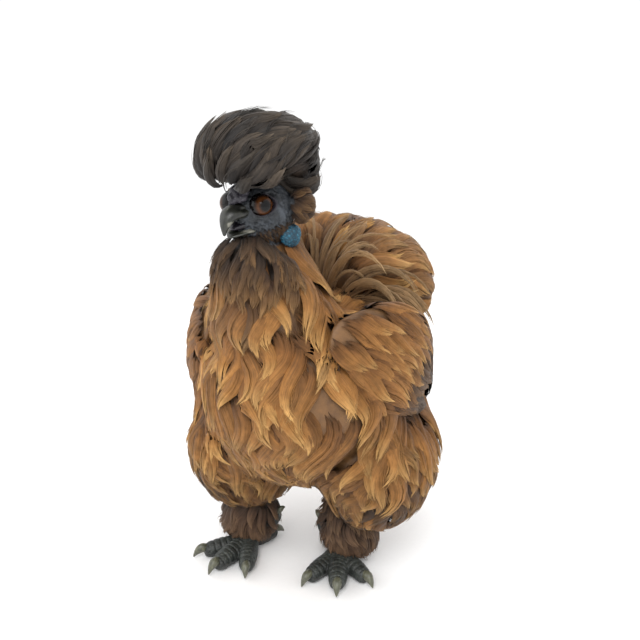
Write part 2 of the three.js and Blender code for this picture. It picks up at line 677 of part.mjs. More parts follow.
const finished = new Map();
const bird = new THREE.Group();
bird.name = "silkie_chicken";
for (const [name, { slot, pieces, clearOf, hollows }] of nodes) {
  let body = united(pieces.map((g) => solid(g))).intersect(aboveFloor);
  for (const other of clearOf) body = body.subtract(grown(other)).subtract(finished.get(other));
  for (const hollow of hollows) body = body.subtract(solid(hollow));
  body = largest(body);
  finished.set(name, body);
  const geometry = geometryOf(body);
  geometry.computeVertexNormals();
  const part = new THREE.Mesh(geometry, materials[slot]);
  part.name = name;
  bird.add(part);
}

// The origin is the middle of the bird's footprint box, on the floor, in whole steps of the weld
const box = new THREE.Box3().setFromObject(bird);
const middle = box.getCenter(V(0, 0, 0));
bird.position.set(-middle.x, -middle.y, -box.min.z).divideScalar(WELD).round().multiplyScalar(WELD);

export default bird;
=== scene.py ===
import math

import bmesh
import bpy
import numpy as np
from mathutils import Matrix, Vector


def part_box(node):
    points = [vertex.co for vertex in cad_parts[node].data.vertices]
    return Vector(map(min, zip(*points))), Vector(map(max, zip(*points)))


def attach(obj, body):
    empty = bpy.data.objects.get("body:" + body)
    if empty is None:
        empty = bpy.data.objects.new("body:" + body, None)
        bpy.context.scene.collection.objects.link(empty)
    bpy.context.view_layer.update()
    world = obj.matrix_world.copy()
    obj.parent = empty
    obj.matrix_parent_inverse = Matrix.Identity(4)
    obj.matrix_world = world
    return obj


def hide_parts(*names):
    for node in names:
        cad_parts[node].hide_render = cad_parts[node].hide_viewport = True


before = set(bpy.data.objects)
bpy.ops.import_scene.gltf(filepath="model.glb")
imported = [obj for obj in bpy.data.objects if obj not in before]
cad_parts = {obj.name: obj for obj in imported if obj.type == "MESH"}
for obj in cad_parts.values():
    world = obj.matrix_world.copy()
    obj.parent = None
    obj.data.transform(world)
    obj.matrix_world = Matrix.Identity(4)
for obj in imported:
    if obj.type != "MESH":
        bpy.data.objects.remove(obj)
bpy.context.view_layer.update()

bl_info = {
    "name": "Silkie chicken",
    "version": (1, 0, 0),
    "blender": (4, 5, 0),
    "location": "View3D > Sidebar > Silkie",
    "description": "Plumage, skin, bill, eyes and feet of a life-size silkie hen",
    "category": "Object",
}

# Forms are given in millimetres in the bird's own frame: it faces -Y, its left is +X and up is +Z.
MM = 0.001
MIDLINE = 4  # the torso leans a little over the left foot
CREST_TOP = 350
EYES_AT = np.array([-4.0, -54.0, CREST_TOP - 62.0])  # halfway between the eyes
HEAD_TURN = math.radians(-10)
EYE_SPREAD = 12.4
EYE_RADIUS = 8
TOE_RADIUS = 7.2
SIDES = (("left", 1), ("right", -1))
TURN = 2 * math.pi

LEFT = np.array([1.0, 0.0, 0.0])
UP = np.array([0.0, 0.0, 1.0])
HEAD_AXES = np.array([
    [math.cos(HEAD_TURN), math.sin(HEAD_TURN), 0],
    [-math.sin(HEAD_TURN), math.cos(HEAD_TURN), 0],
    [0, 0, 1],
])


def in_head(points):
    """Points given from between the eyes (left, back, up), in the bird's frame."""
    return np.asarray(points, float) @ HEAD_AXES + EYES_AT


def from_head(points):
    """Points in the bird's frame, as seen from between the eyes (left, back, up)."""
    return (points - EYES_AT) @ HEAD_AXES.T


def frame_shift():
    """From the bird's own frame to the CAD frame, in metres: the left eyeball is in both."""
    low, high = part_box("eye_left")
    return np.array((low + high) / 2) - in_head([EYE_SPREAD, 0, 0]) * MM


SHIFT = frame_shift()


def placed(points):
    return np.asarray(points, float) * MM + SHIFT


# Smooth forms and the distance to them

def unit(vectors):
    return vectors / np.maximum(np.linalg.norm(vectors, axis=-1, keepdims=True), 1e-12)


def dot(a, b):
    return (a * b).sum(-1)


def smoothstep(x, low, high):
    t = np.clip((x - low) / (high - low), 0, 1)
    return t * t * (3 - 2 * t)


def along(values, share):
    """The value at a share of a list that is spread evenly from 0 to 1, by a smooth curve."""
    values = np.asarray(values, float)
    last = len(values) - 1
    place = np.clip(share, 0, 1) * last
    i = np.minimum(place.astype(int), last - 1)
    f = place - i
    if values.ndim > 1:
        f = f[..., None]
    a, b, c, d = (values[np.clip(i + k, 0, last)] for k in (-1, 0, 1, 2))
    return b + 0.5 * f * (c - a + f * (2 * a - 5 * b + 4 * c - d + f * (3 * (b - c) + d - a)))


class Form:
    """A rounded body along a bent spine: an oval of half-widths wide and deep at each share of it."""

    SLICES = 40
    BATCH = 8000  # points that are measured at a time

    def __init__(self, spine, wide, deep, side=LEFT, full=0.5, relief=None):
        self.spine, self.wide, self.deep = np.asarray(spine, float), list(wide), list(deep)
        self.side, self.full, self.relief = np.asarray(side, float), full, relief
        s = np.clip(np.linspace(0, 1, self.SLICES + 1), 0.002, 0.998)
        self.centre, self.across, self.out = self.frame(s)
        round_off = (4 * s * (1 - s)) ** full
        self.w, self.d = along(self.wide, s) * round_off, along(self.deep, s) * round_off
        self.step = np.linalg.norm(np.diff(self.centre, axis=0), axis=1).sum() / self.SLICES

    def frame(self, s):
        ahead = unit(along(self.spine, s + 0.01) - along(self.spine, s - 0.01))
        across = unit(self.side - dot(ahead, self.side)[..., None] * ahead)
        return along(self.spine, s), across, np.cross(across, ahead)

    def point(self, s, turn):
        s, turn = np.asarray(s, float), np.asarray(turn, float)
        centre, across, out = self.frame(s)
        size = np.maximum(4 * s * (1 - s), 0) ** self.full
        if self.relief:
            size = size * self.relief(s, turn)
        x = np.cos(turn) * along(self.wide, s) * size
        y = np.sin(turn) * along(self.deep, s) * size
        return centre + across * x[..., None] + out * y[..., None]

    def distance(self, points):
        """How far points lie from the surface, less than 0 inside it."""
        if len(points) > self.BATCH:
            parts = np.array_split(points, len(points) // self.BATCH + 1)
            return np.concatenate([self.distance(part) for part in parts])
        away = points[:, None] - self.centre
        x, y = dot(away, self.across), dot(away, self.out)
        reach = np.maximum(np.hypot(x / self.w, y / self.d), 1e-9)
        rim = self.centre + self.across * (x / reach)[..., None] + self.out * (y / reach)[..., None]
        gap = ((rim - points[:, None]) ** 2).sum(-1)
        rows = np.arange(len(points))
        nearest = gap.argmin(1)
        far = gap[rows, nearest]
        height = dot(away, away) - x * x - y * y
        level = height.argmin(1)
        inside = (reach[rows, level] < 1) & (height[rows, level] < self.step ** 2)
        for other in (np.maximum(nearest - 1, 0), np.minimum(nearest + 1, self.SLICES)):
            start, edge = rim[rows, nearest], rim[rows, other] - rim[rows, nearest]
            share = np.clip(dot(points - start, edge) / np.maximum(dot(edge, edge), 1e-9), 0, 1)
            far = np.minimum(far, ((start + edge * share[:, None] - points) ** 2).sum(-1))
        return np.where(inside, -1, 1) * np.sqrt(far)

    def inner(self, depth):
        """The form that lies a depth below this one's surface."""
        spine = self.spine.copy()
        for end, beside in ((0, 1), (-1, -2)):
            way = spine[beside] - spine[end]
            spine[end] = spine[end] + way * min(depth / np.linalg.norm(way), 0.8)
        wide, deep = ([max(v - depth, 1) for v in sizes] for sizes in (self.wide, self.deep))
        return Form(spine, wide, deep, self.side, self.full, self.relief)


def blend(forms, soft):
    """The distance to several forms whose joins are rounded off over a width of soft."""
    def field(points):
        near = np.full(len(points), 1e6)
        for form in forms:
            far = form.distance(points)
            share = np.maximum(soft - np.abs(near - far), 0) / soft
            near = np.minimum(near, far) - share * share * soft / 4
        return near
    return field


def normals(field, points, reach=0.8):
    here = field(points)
    slopes = [field(points + reach * axis) - here for axis in np.eye(3)]
    return unit(np.stack(slopes, -1))


def head_form(spine, wide, deep, side=LEFT, full=0.5, relief=None):
    return Form(in_head(spine), wide, deep, np.asarray(side, float) @ HEAD_AXES, full, relief)


TORSO = Form(
    [(MIDLINE - 2, -76, 152), (MIDLINE, -36, 149), (MIDLINE, 6, 144), (MIDLINE, 50, 136),
     (MIDLINE, 92, 129), (MIDLINE, 130, 125)],
    wide=[63, 85, 91, 89, 80, 53], deep=[57, 76, 80, 79, 71, 48], full=0.42)
NECK = Form([(3, -20, 166), (2, -31, 206), (0, -35, 242), (-2, -30, 284)],
            wide=[52, 50, 38, 25], deep=[44, 44, 39, 28], full=0.34)
CREST = head_form([(7, -31, 22), (6, -12, 33), (6, 20, 36), (9, 48, 1)],
                  wide=[32, 36, 37, 31], deep=[22, 23, 23, 29], full=0.36)
FRINGE = head_form([(-22, -16, 24), (0, -25, 22), (22, -21, 21), (35, -4, 21)],
                   wide=[12, 14, 14, 12], deep=[11, 13, 13, 12], side=UP, full=0.4)
HEAD = head_form([(0, -10, -4), (0, -1, -5), (0, 16, -5), (0, 38, -3)],
                 wide=[12, 19.5, 26, 22], deep=[12, 19.5, 24, 20], full=0.4)
BEARD = head_form([(0, -2, -19), (1, -3, -34), (2, 0, -52), (4, 2, -76)],
                  wide=[18, 23, 24, 14], deep=[13, 16, 17, 12], full=0.4)
TAIL = Form([(MIDLINE, 26, 196), (MIDLINE, 60, 213), (MIDLINE, 98, 208), (MIDLINE + 2, 144, 174)],
            wide=[50, 82, 84, 62], deep=[37, 58, 59, 46], full=0.5)


def muff(way):
    return head_form([(way * 22, 14, 4), (way * 27, 23, -1), (way * 26, 34, -6)],
                     wide=[7, 9.5, 8], deep=[9, 13, 10], full=0.45)


def wing(way):
    return Form([(MIDLINE + way * 44, -46, 203), (MIDLINE + way * 69, -16, 189),
                 (MIDLINE + way * 84, 14, 167), (MIDLINE + way * 88, 42, 132)],
                wide=[25, 37, 40, 19], deep=[10, 13, 13, 8], side=(0, 0.35, 1), full=0.4)


def thigh(way):
    """The right leg stands a little ahead of the left one."""
    ahead, drop = (10, 1) if way < 0 else (0, 0)
    spine = [(46, 30, 156), (55, 30, 106), (56, 24, 72), (44, 15, 34)]
    return Form([(MIDLINE + way * (x - ahead * 0.7), y - ahead, z - drop) for x, y, z in spine],
                wide=[38, 49, 49, 40], deep=[50, 64, 63, 46], full=0.36)


FEET_AT = {"left": (35.5, 11, 22), "right": (-38.5, -1, -8)}  # x, y and heading of each foot


def shank(side, way):
    x, y = FEET_AT[side][:2]
    return Form([(way * 44, 18, 70), (x + way * 5, y + 11, 44), (x + way * 5, y + 10, 28),
                 (x + way * 5, y + 7, 7)], wide=[22, 23, 25, 28], deep=[24, 24, 25, 27], full=0.28)


MUFFS = {side: muff(way) for side, way in SIDES}
WINGS = {side: wing(way) for side, way in SIDES}
THIGHS = {side: thigh(way) for side, way in SIDES}
SHANKS = {side: shank(side, way) for side, way in SIDES}
body_field = blend([TORSO, NECK, *THIGHS.values()], 14)
neck_field = blend([TORSO, NECK, BEARD, *THIGHS.values(), *WINGS.values()], 14)
crest_field = blend([CREST, FRINGE], 9)

# Meshes, attributes and pieces


def finish_piece(mesh, name, material, stands_for=()):
    """Links a mesh as a piece that rides on the bird and stands for its CAD nodes."""
    piece = bpy.data.objects.new(name, mesh)
    bpy.context.scene.collection.objects.link(piece)
    mesh.materials.append(material)
    mesh.polygons.foreach_set("use_smooth", np.ones(len(mesh.polygons), bool))
    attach(piece, "root")
    if stands_for:
        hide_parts(*stands_for)


def add_form(bm, form, around, rings):
    """Adds a form to a bmesh, as a sphere whose points are moved on to it."""
    made = bmesh.ops.create_uvsphere(bm, u_segments=around, v_segments=rings, radius=1)["verts"]
    ball = np.array([v.co for v in made])
    points = placed(form.point((1 - ball[:, 2]) / 2, np.arctan2(ball[:, 1], ball[:, 0])))
    for vert, point in zip(made, points):
        vert.co = point


def mesh_of(bm, name):
    mesh = bpy.data.meshes.new(name)
    bm.to_mesh(mesh)
    bm.free()
    return mesh


def form_mesh(name, forms, around, rings):
    bm = bmesh.new()
    for form in forms:
        add_form(bm, form, around, rings)
    return mesh_of(bm, name)


def fused(mesh, voxel, passes=2, sink=0.5):
    """One closed skin round the closed shells of a mesh, by a voxel remesh that is then smoothed."""
    piece = bpy.data.objects.new("shells", mesh)
    bpy.context.scene.collection.objects.link(piece)
    remesh = piece.modifiers.new("Remesh", "REMESH")
    remesh.mode = "VOXEL"
    remesh.voxel_size = voxel
    relax = piece.modifiers.new("Smooth", "SMOOTH")
    relax.factor = sink
    relax.iterations = passes
    whole = bpy.data.meshes.new_from_object(piece.evaluated_get(bpy.context.evaluated_depsgraph_get()))
    bpy.data.objects.remove(piece)
    return whole


def coordinates(mesh):
    co = np.zeros(len(mesh.vertices) * 3)
    mesh.vertices.foreach_get("co", co)
    return co.reshape(-1, 3)


def vertex_normals(mesh):
    way = np.zeros(len(mesh.vertices) * 3)
    mesh.vertices.foreach_get("normal", way)
    return way.reshape(-1, 3)


def own_frame(mesh):
    """A mesh's points in millimetres in the bird's own frame."""
    return (coordinates(mesh) - SHIFT) / MM


def reshape(mesh, points):
    mesh.vertices.foreach_set("co", placed(points).ravel())
    mesh.update()


def paint(mesh, name, columns):
    """Stores up to three numbers from 0 to 1 for each point as a colour attribute."""
    values = np.ones((len(mesh.vertices), 4), np.float32)
    for k, column in enumerate(columns):
        values[:, k] = column
    attribute = mesh.color_attributes.new(name, "FLOAT_COLOR", "POINT")
    attribute.data.foreach_set("color", values.ravel())


# Materials

# Sizes in metres of the detail in each finish
BARB_RELIEF = 0.0006
SKIN_CREASE = 0.0016
SKIN_RELIEF = 0.0006
HORN_STREAK = 0.0025
HORN_RELIEF = 0.0003
IRIS_FIBRE = 0.0007


def linear(colour):
    """An sRGB hex colour as linear RGBA."""
    parts = [int(colour[i:i + 2], 16) / 255 for i in (1, 3, 5)]
    return (*[c / 12.92 if c <= 0.04045 else ((c + 0.055) / 1.055) ** 2.4 for c in parts], 1.0)


def add_node(tree, kind, settings=(), links=(), fixed=(), stops=(), **values):
    """Adds a node with its settings, its links as (input, node, output) and its inputs' values, fixed by
    number or given by name. A colour ramp also gets its stops."""
    made = tree.nodes.new(kind)
    for key, value in dict(settings).items():
        setattr(made, key, value)
    for key, value in {**dict(fixed), **values}.items():
        place = key.replace("_", " ") if isinstance(key, str) else key
        made.inputs[place].default_value = value
    for key, source, output in links:
        tree.links.new(source.outputs[output], made.inputs[key])
    while stops and len(made.color_ramp.elements) < len(stops):
        made.color_ramp.elements.new(0.5)
    for k, (place, colour) in enumerate(stops):
        made.color_ramp.elements[k].position = place
        made.color_ramp.elements[k].color = linear(colour)
    return made


def painted(tree, name):
    """A colour attribute of the piece, split into its three numbers."""
    stored = add_node(tree, "ShaderNodeAttribute", {"attribute_name": name})
    return add_node(tree, "ShaderNodeSeparateColor", links=[("Color", stored, "Color")])


def new_material(name):
    made = bpy.data.materials.new(name)
    made.use_nodes = True
    made.node_tree.nodes.clear()
    return made, made.node_tree


def surface(tree, colour, output, roughness, bump=None, **fixed):
    """The shader and output: colour from a node, roughness from a node or a number, and fixed sockets."""
    links = [("Base Color", colour, output)]
    values = {"Specular_IOR_Level": 0.5, **fixed}
    if isinstance(roughness, tuple):
        links.append(("Roughness", *roughness))
    else:
        values["Roughness"] = roughness
    if bump:
        links.append(("Normal", bump, "Normal"))
    shader = add_node(tree, "ShaderNodeBsdfPrincipled", links=links, **values)
    add_node(tree, "ShaderNodeOutputMaterial", links=[("Surface", shader, "BSDF")])


def object_noise(tree, size, detail=3.0, stretch=(1, 1, 1)):
    """Noise on Object coordinates, whose features are about size metres across."""
    place = add_node(tree, "ShaderNodeTexCoord")
    mapping = add_node(tree, "ShaderNodeMapping", links=[("Vector", place, "Object")], Scale=stretch)
    return add_node(tree, "ShaderNodeTexNoise", links=[("Vector", mapping, "Vector")],
                    Scale=1 / size, Detail=detail, Roughness=0.55)


def down_material(name, pale, dark, sheen=0.06, roughness=0.62):
    """Keratin down: matt, with a soft sheen, darker at the root and bleached at the tip. The coat's own
    attribute says how far along a barb a point is, its lock's tone with any painted shade in it, and how
    dark its marking is."""
    made, tree = new_material(name)
    parts, own = painted(tree, "coat"), painted(tree, "strand")
    buff, brown = (add_node(tree, "ShaderNodeValToRGB", links=[("Fac", parts, "Red")], stops=stops)
                   for stops in (pale, dark))
    marked = add_node(tree, "ShaderNodeMix", {"data_type": "RGBA"},
                      [("Factor", parts, "Blue"), (6, buff, "Color"), (7, brown, "Color")])
    fleck = object_noise(tree, 0.006, 2.0)
    tone_and_shade = add_node(tree, "ShaderNodeMath", {"operation": "MULTIPLY_ADD"},
                    [(0, parts, "Green"), (2, fleck, "Fac")], {1: 0.8})
    value = add_node(tree, "ShaderNodeMapRange", links=[("Value", tone_and_shade, "Value")],
                     From_Min=0.3, From_Max=1.3, To_Min=0.5, To_Max=1.4)
    shade = add_node(tree, "ShaderNodeHueSaturation",
                     links=[("Value", value, "Result"), ("Color", marked, 2)])
    place = add_node(tree, "ShaderNodeCombineXYZ", links=[("X", own, "Red"), ("Y", parts, "Red"),
                                                          ("Z", own, "Green")])
    lie = add_node(tree, "ShaderNodeMapping", links=[("Vector", place, "Vector")], Scale=(7, 1.6, 90))
    hairs = add_node(tree, "ShaderNodeTexNoise", links=[("Vector", lie, "Vector")], Scale=1.0, Detail=3.0,
                     Roughness=0.6)  # single barbs, drawn coarse enough to show
    streak = add_node(tree, "ShaderNodeMapRange", links=[("Value", hairs, "Fac")],
                      From_Min=0.3, From_Max=0.7, To_Min=0.62, To_Max=1.3)
    streaked = add_node(tree, "ShaderNodeHueSaturation", links=[("Value", streak, "Result"),
                                                                ("Color", shade, "Color")])
    bump = add_node(tree, "ShaderNodeBump", links=[("Height", hairs, "Fac")], Strength=0.5,
                    Distance=BARB_RELIEF)
    surface(tree, streaked, "Color", roughness, bump, Specular_IOR_Level=0.22, Sheen_Weight=sheen,
            Sheen_Roughness=0.5)
    return made


BUFF = [(0.0, "#3b2512"), (0.3, "#704923"), (0.65, "#926534"), (1.0, "#c69c60")]
DARK = [(0.0, "#15100d"), (0.35, "#2a2018"), (0.75, "#453425"), (1.0, "#67503a")]
CREST_PALE = [(0.0, "#191512"), (0.3, "#302923"), (0.7, "#483e34"), (1.0, "#655748")]
CREST_DARK = [(0.0, "#100e0f"), (0.4, "#1f1c1b"), (1.0, "#35302a")]
STRAP_PALE = [(0.0, "#563c24"), (0.4, "#86653f"), (0.8, "#a28055"), (1.0, "#bb9a6d")]
STRAP_DARK = [(0.0, "#2e231b"), (0.5, "#5d4a38"), (1.0, "#84705a")]
BEARD_PALE = [(0.0, "#21170f"), (0.3, "#463122"), (0.65, "#6d4f2f"), (1.0, "#957248")]
SHANK_PALE = [(0.0, "#2c1f17"), (0.5, "#5b4331"), (1.0, "#8a6c4e")]
SHANK_DARK = [(0.0, "#1b1512"), (0.5, "#38291f"), (1.0, "#5a4535")]


def face_skin_material():
    """Bare skin over the face, slate blue with a mulberry cast, finely creased and a little waxy. Where
    down grows, it takes the tone of the down's own roots."""
    made, tree = new_material("slate_skin")
    parts, patches = painted(tree, "skin"), object_noise(tree, 0.009, 4.0)
    slate, lid, buff, brown = (
        add_node(tree, "ShaderNodeValToRGB", links=[("Fac", patches, "Fac")], stops=stops) for stops in (
            [(0.3, "#16181b"), (0.5, "#282c31"), (0.7, "#474c53")], [(0.3, "#120f15"), (0.7, "#2a2430")],
            [(0.3, "#5a3d20"), (0.7, "#7b562e")], [(0.3, "#211a15"), (0.7, "#3d3128")]))
    bare = add_node(tree, "ShaderNodeMix", {"data_type": "RGBA"},
                    [("Factor", parts, "Red"), (6, slate, "Color"), (7, lid, "Color")])
    down = add_node(tree, "ShaderNodeMix", {"data_type": "RGBA"},
                    [("Factor", parts, "Blue"), (6, buff, "Color"), (7, brown, "Color")])
    dressed = add_node(tree, "ShaderNodeMix", {"data_type": "RGBA"},
                       [("Factor", parts, "Green"), (6, bare, 2), (7, down, 2)])
    place = add_node(tree, "ShaderNodeTexCoord")
    cells = add_node(tree, "ShaderNodeTexVoronoi", {"feature": "DISTANCE_TO_EDGE"},
                     [("Vector", place, "Object")], Scale=1 / SKIN_CREASE)
    fine = object_noise(tree, 0.0011, 4.0)
    height = add_node(tree, "ShaderNodeMath", {"operation": "MULTIPLY_ADD"},
                      [(0, cells, "Distance"), (2, fine, "Fac")], {1: 0.8})
    bump = add_node(tree, "ShaderNodeBump", links=[("Height", height, "Value")], Strength=0.5,
                    Distance=SKIN_RELIEF)
    rough = add_node(tree, "ShaderNodeMapRange", links=[("Value", patches, "Fac")],
                     To_Min=0.42, To_Max=0.62)
    surface(tree, dressed, 2, (rough, "Result"), bump)
    return made


def wrinkled_material(name, stops, crease, roughness, depth=0.0005):
    """Fleshy skin with a network of creases: comb, earlobe and scaly toe. The colour is darker along the
    creases, which is painted shade, over patches of the skin's own colour.
    """
    made, tree = new_material(name)
    place = add_node(tree, "ShaderNodeTexCoord")
    warp = object_noise(tree, crease * 3, 2.0)
    moved = add_node(tree, "ShaderNodeVectorMath", {"operation": "MULTIPLY_ADD"},
                     [(0, warp, "Color"), (2, place, "Object")], {1: (crease * 1.5,) * 3})
    cells = add_node(tree, "ShaderNodeTexVoronoi", {"feature": "DISTANCE_TO_EDGE"},
                     [("Vector", moved, "Vector")], Scale=1 / crease)
    patches = object_noise(tree, crease * 4, 3.0)
    # Painted shade: darker colour along the creases, mixed with patches of the skin's own colour.
    tint = add_node(tree, "ShaderNodeMath", {"operation": "MULTIPLY_ADD"},
                    [(0, cells, "Distance"), (2, patches, "Fac")], {1: 0.9})
    colour = add_node(tree, "ShaderNodeValToRGB", links=[("Fac", tint, "Value")], stops=stops)
    bump = add_node(tree, "ShaderNodeBump", links=[("Height", cells, "Distance")], Strength=0.8,
                    Distance=depth)
    surface(tree, colour, "Color", roughness, bump)
    return made


def horn_material(name, stops):
    """Horn: dense keratin with a dull polish, streaked along its growth and paler at its thin rims. The
    paler band along the upper bill's ridge is a painted highlight.
    """
    made, tree = new_material(name)
    streaks = object_noise(tree, HORN_STREAK, 4.0, stretch=(1.6, 0.5, 1.0))
    rim = painted(tree, "rim")
    paler = add_node(tree, "ShaderNodeMath", {"operation": "MULTIPLY_ADD"},
                     [(0, rim, "Red"), (2, streaks, "Fac")], {1: 0.75})
    colour = add_node(tree, "ShaderNodeValToRGB", links=[("Fac", paler, "Value")], stops=stops)
    bump = add_node(tree, "ShaderNodeBump", links=[("Height", streaks, "Fac")], Strength=0.3,
                    Distance=HORN_RELIEF)
    surface(tree, colour, "Color", 0.38, bump, Coat_Weight=0.15, Coat_Roughness=0.3)
    return made


def eye_material():
    """A wet eyeball: black pupil, brown iris that is warmer round the pupil, and a dark rim. The eye's own
    attribute is the angle from its axis, as a share of a half turn."""
    made, tree = new_material("wet_eye")
    fibres = object_noise(tree, IRIS_FIBRE, 3.0)
    rings = painted(tree, "iris")
    blurred = add_node(tree, "ShaderNodeMath", {"operation": "MULTIPLY_ADD"},
                       [(0, fibres, "Fac"), (2, rings, "Red")], {1: 0.035})
    colour = add_node(tree, "ShaderNodeValToRGB", links=[("Fac", blurred, "Value")], stops=[
        (0.0, "#030202"), (0.14, "#040303"), (0.17, "#2a170b"), (0.23, "#4f2c12"), (0.3, "#2c170b"),
        (0.35, "#0a0707"),
    ])
    surface(tree, colour, "Color", 0.2, Specular_IOR_Level=0.2, Coat_Weight=0.15, Coat_Roughness=0.03)
    return made


# Down: locks of fine barbs that grow over a field

SEGMENTS = 9  # steps of a lock's path
CYCLES = 0.9  # how often a lock swings from side to side
SWELL = 60  # millimetres over which neighbouring locks change their swing
CROWD = 20  # places tried for each one that a root could take
RINGS = 7  # rings of a strand between its root and its tip
STRAND_TRIANGLES = 6 * RINGS
PIECE_TRIANGLES = 195_000  # the most that one piece of the coat may have
PATCH = 0.003  # the size of a lock's patch on the map


def scatter(form, spacing, seed, keep):
    """Roots spread evenly over a form, at least spacing apart, with their places on its unwrap."""
    rng = np.random.default_rng(seed)
    length = form.step * form.SLICES
    area = length * math.pi * (np.mean(form.wide) + np.mean(form.deep))
    number = int(CROWD * area / spacing ** 2)
    s = np.sin(rng.uniform(0.004, 0.996, number) * math.pi / 2) ** 2  # closer towards the blunt ends
    turn = rng.uniform(0, TURN, number)
    points = form.point(s, turn)
    chosen = np.flatnonzero(keep(points))
    taken, kept = {}, []
    for i in chosen:
        cell = tuple((points[i] // spacing).astype(int))
        near = [j for x in (-1, 0, 1) for y in (-1, 0, 1) for z in (-1, 0, 1)
                for j in taken.get((cell[0] + x, cell[1] + y, cell[2] + z), ())]
        if near and ((points[near] - points[i]) ** 2).sum(1).min() < spacing ** 2:
            continue
        taken.setdefault(cell, []).append(i)
        kept.append(i)
    kept = np.array(kept, int)
    return points[kept], np.stack([turn[kept] / TURN, s[kept]], -1)


def walk(field, roots, lie, length, bed, lift, wave, phase, rise):
    """Paths of locks over a field: from bed below its surface to lift above it, along the lie of the coat,
    swinging from side to side. Returns their points, sideways and outward directions."""
    points = roots.copy()
    length, lift, phase = (np.broadcast_to(v, len(roots)) for v in (length, lift, phase))
    path, outward = [], []
    for i in range(SEGMENTS + 1):
        t = i / SEGMENTS
        height = -bed + (lift + bed) * t ** rise
        for _ in range(2):
            points = points + normals(field, points) * (height - field(points))[:, None]
        normal = normals(field, points)
        ahead = lie(points, normal)
        ahead = unit(ahead - normal * dot(ahead, normal)[:, None])
        angle = wave * np.sin(TURN * (CYCLES * t + phase))
        ahead = ahead * np.cos(angle)[:, None] + np.cross(normal, ahead) * np.sin(angle)[:, None]
        path.append(points)
        outward.append(normal)
        points = points + ahead * (length / SEGMENTS)[:, None]
    path, outward = np.stack(path, 1), np.stack(outward, 1)
    ahead = unit(np.gradient(path, axis=1))
    across = unit(np.cross(ahead, outward))
    return path, across, np.cross(across, ahead)


def lock_outline(t):
    """A lock is broadest at a third of its length and closes to a point."""
    return np.sin(math.pi * (0.16 + 0.84 * t)) ** 0.8


def strap_outline(t):
    """A strap keeps its width until near its tip."""
    return np.sqrt(np.clip(1 - t ** 3, 0, 1)) * (0.55 + 0.45 * np.clip(3 * t, 0, 1))


def strands(guides, half_width, number, width, crown, rng, outline, fray, stray, ridge):
    """Strands side by side along each lock's path, closing in on its tip. Returns each strand's points from
    root to tip, the way each point faces, and how far along the lock it is."""
    path, across, upward = guides
    locks = len(path)
    half_width = np.broadcast_to(half_width, locks)[:, None, None]
    shape = (locks, number)
    aside = (np.linspace(-1, 1, number) + rng.uniform(-0.9, 0.9, shape) / number).clip(-1, 1)[..., None]
    start = rng.uniform(0.0, 0.22, shape)[..., None]
    end = 1 - (rng.uniform(0.0, 0.12, shape)[..., None] + 0.1 * aside ** 2)
    t = start + (end - start) * np.linspace(0, 1, RINGS + 2)
    place = t * (path.shape[1] - 1)
    i = np.minimum(place.astype(int), path.shape[1] - 2)
    f = (place - i)[..., None]
    rows = np.arange(locks)[:, None, None]
    centre = path[rows, i] * (1 - f) + path[rows, i + 1] * f
    side = unit(across[rows, i] * (1 - f) + across[rows, i + 1] * f)
    out = unit(upward[rows, i] * (1 - f) + upward[rows, i + 1] * f)
    spread = outline(t)
    bow = rng.uniform(-1, 1, shape)[..., None] * fray * np.sin(math.pi * t)
    loose = rng.uniform(-1, 1, shape)[..., None] ** 5 * stray * t ** 2
    sideways = aside * half_width * spread + bow + loose
    level = crown * (1 - aside ** 2) * spread + rng.uniform(-0.3, 0.3, shape)[..., None] * width
    centre = centre + side * sideways[..., None] + out * (level + np.abs(loose) * 0.5)[..., None]
    lean = np.clip(2 * crown * aside / np.maximum(half_width, 1e-6), -1, 1)[..., None]
    side, out = unit(side - out * lean), unit(out + side * lean)
    u = np.linspace(0, 1, RINGS + 2)
    size = width * (0.35 + 0.65 * np.clip(4 * u, 0, 1)) * np.clip(2.2 * (1 - u), 0, 1) ** 0.8
    size = (size * rng.uniform(0.75, 1.25, shape)[..., None])[..., 1:-1, None]
    middle, side, out = centre[..., 1:-1, :], side[..., 1:-1, :], out[..., 1:-1, :]
    corners = np.stack([middle - side * size, middle + side * size, middle + out * size * ridge], -2)
    ring_points = corners.reshape(locks * number, RINGS * 3, 3)
    root, tip = (centre[..., k, :].reshape(-1, 1, 3) for k in (0, -1))
    faces = np.stack([out - 0.5 * side, out + 0.5 * side, out], -2).reshape(locks * number, RINGS * 3, 3)
    faces = unit(np.concatenate([faces[:, 2:3], faces, faces[:, -1:]], 1))
    reach = np.concatenate([t[..., :1], np.repeat(t[..., 1:-1], 3, -1), t[..., -1:]], -1)
    return np.concatenate([root, ring_points, tip], 1), faces, reach.reshape(locks * number, -1)


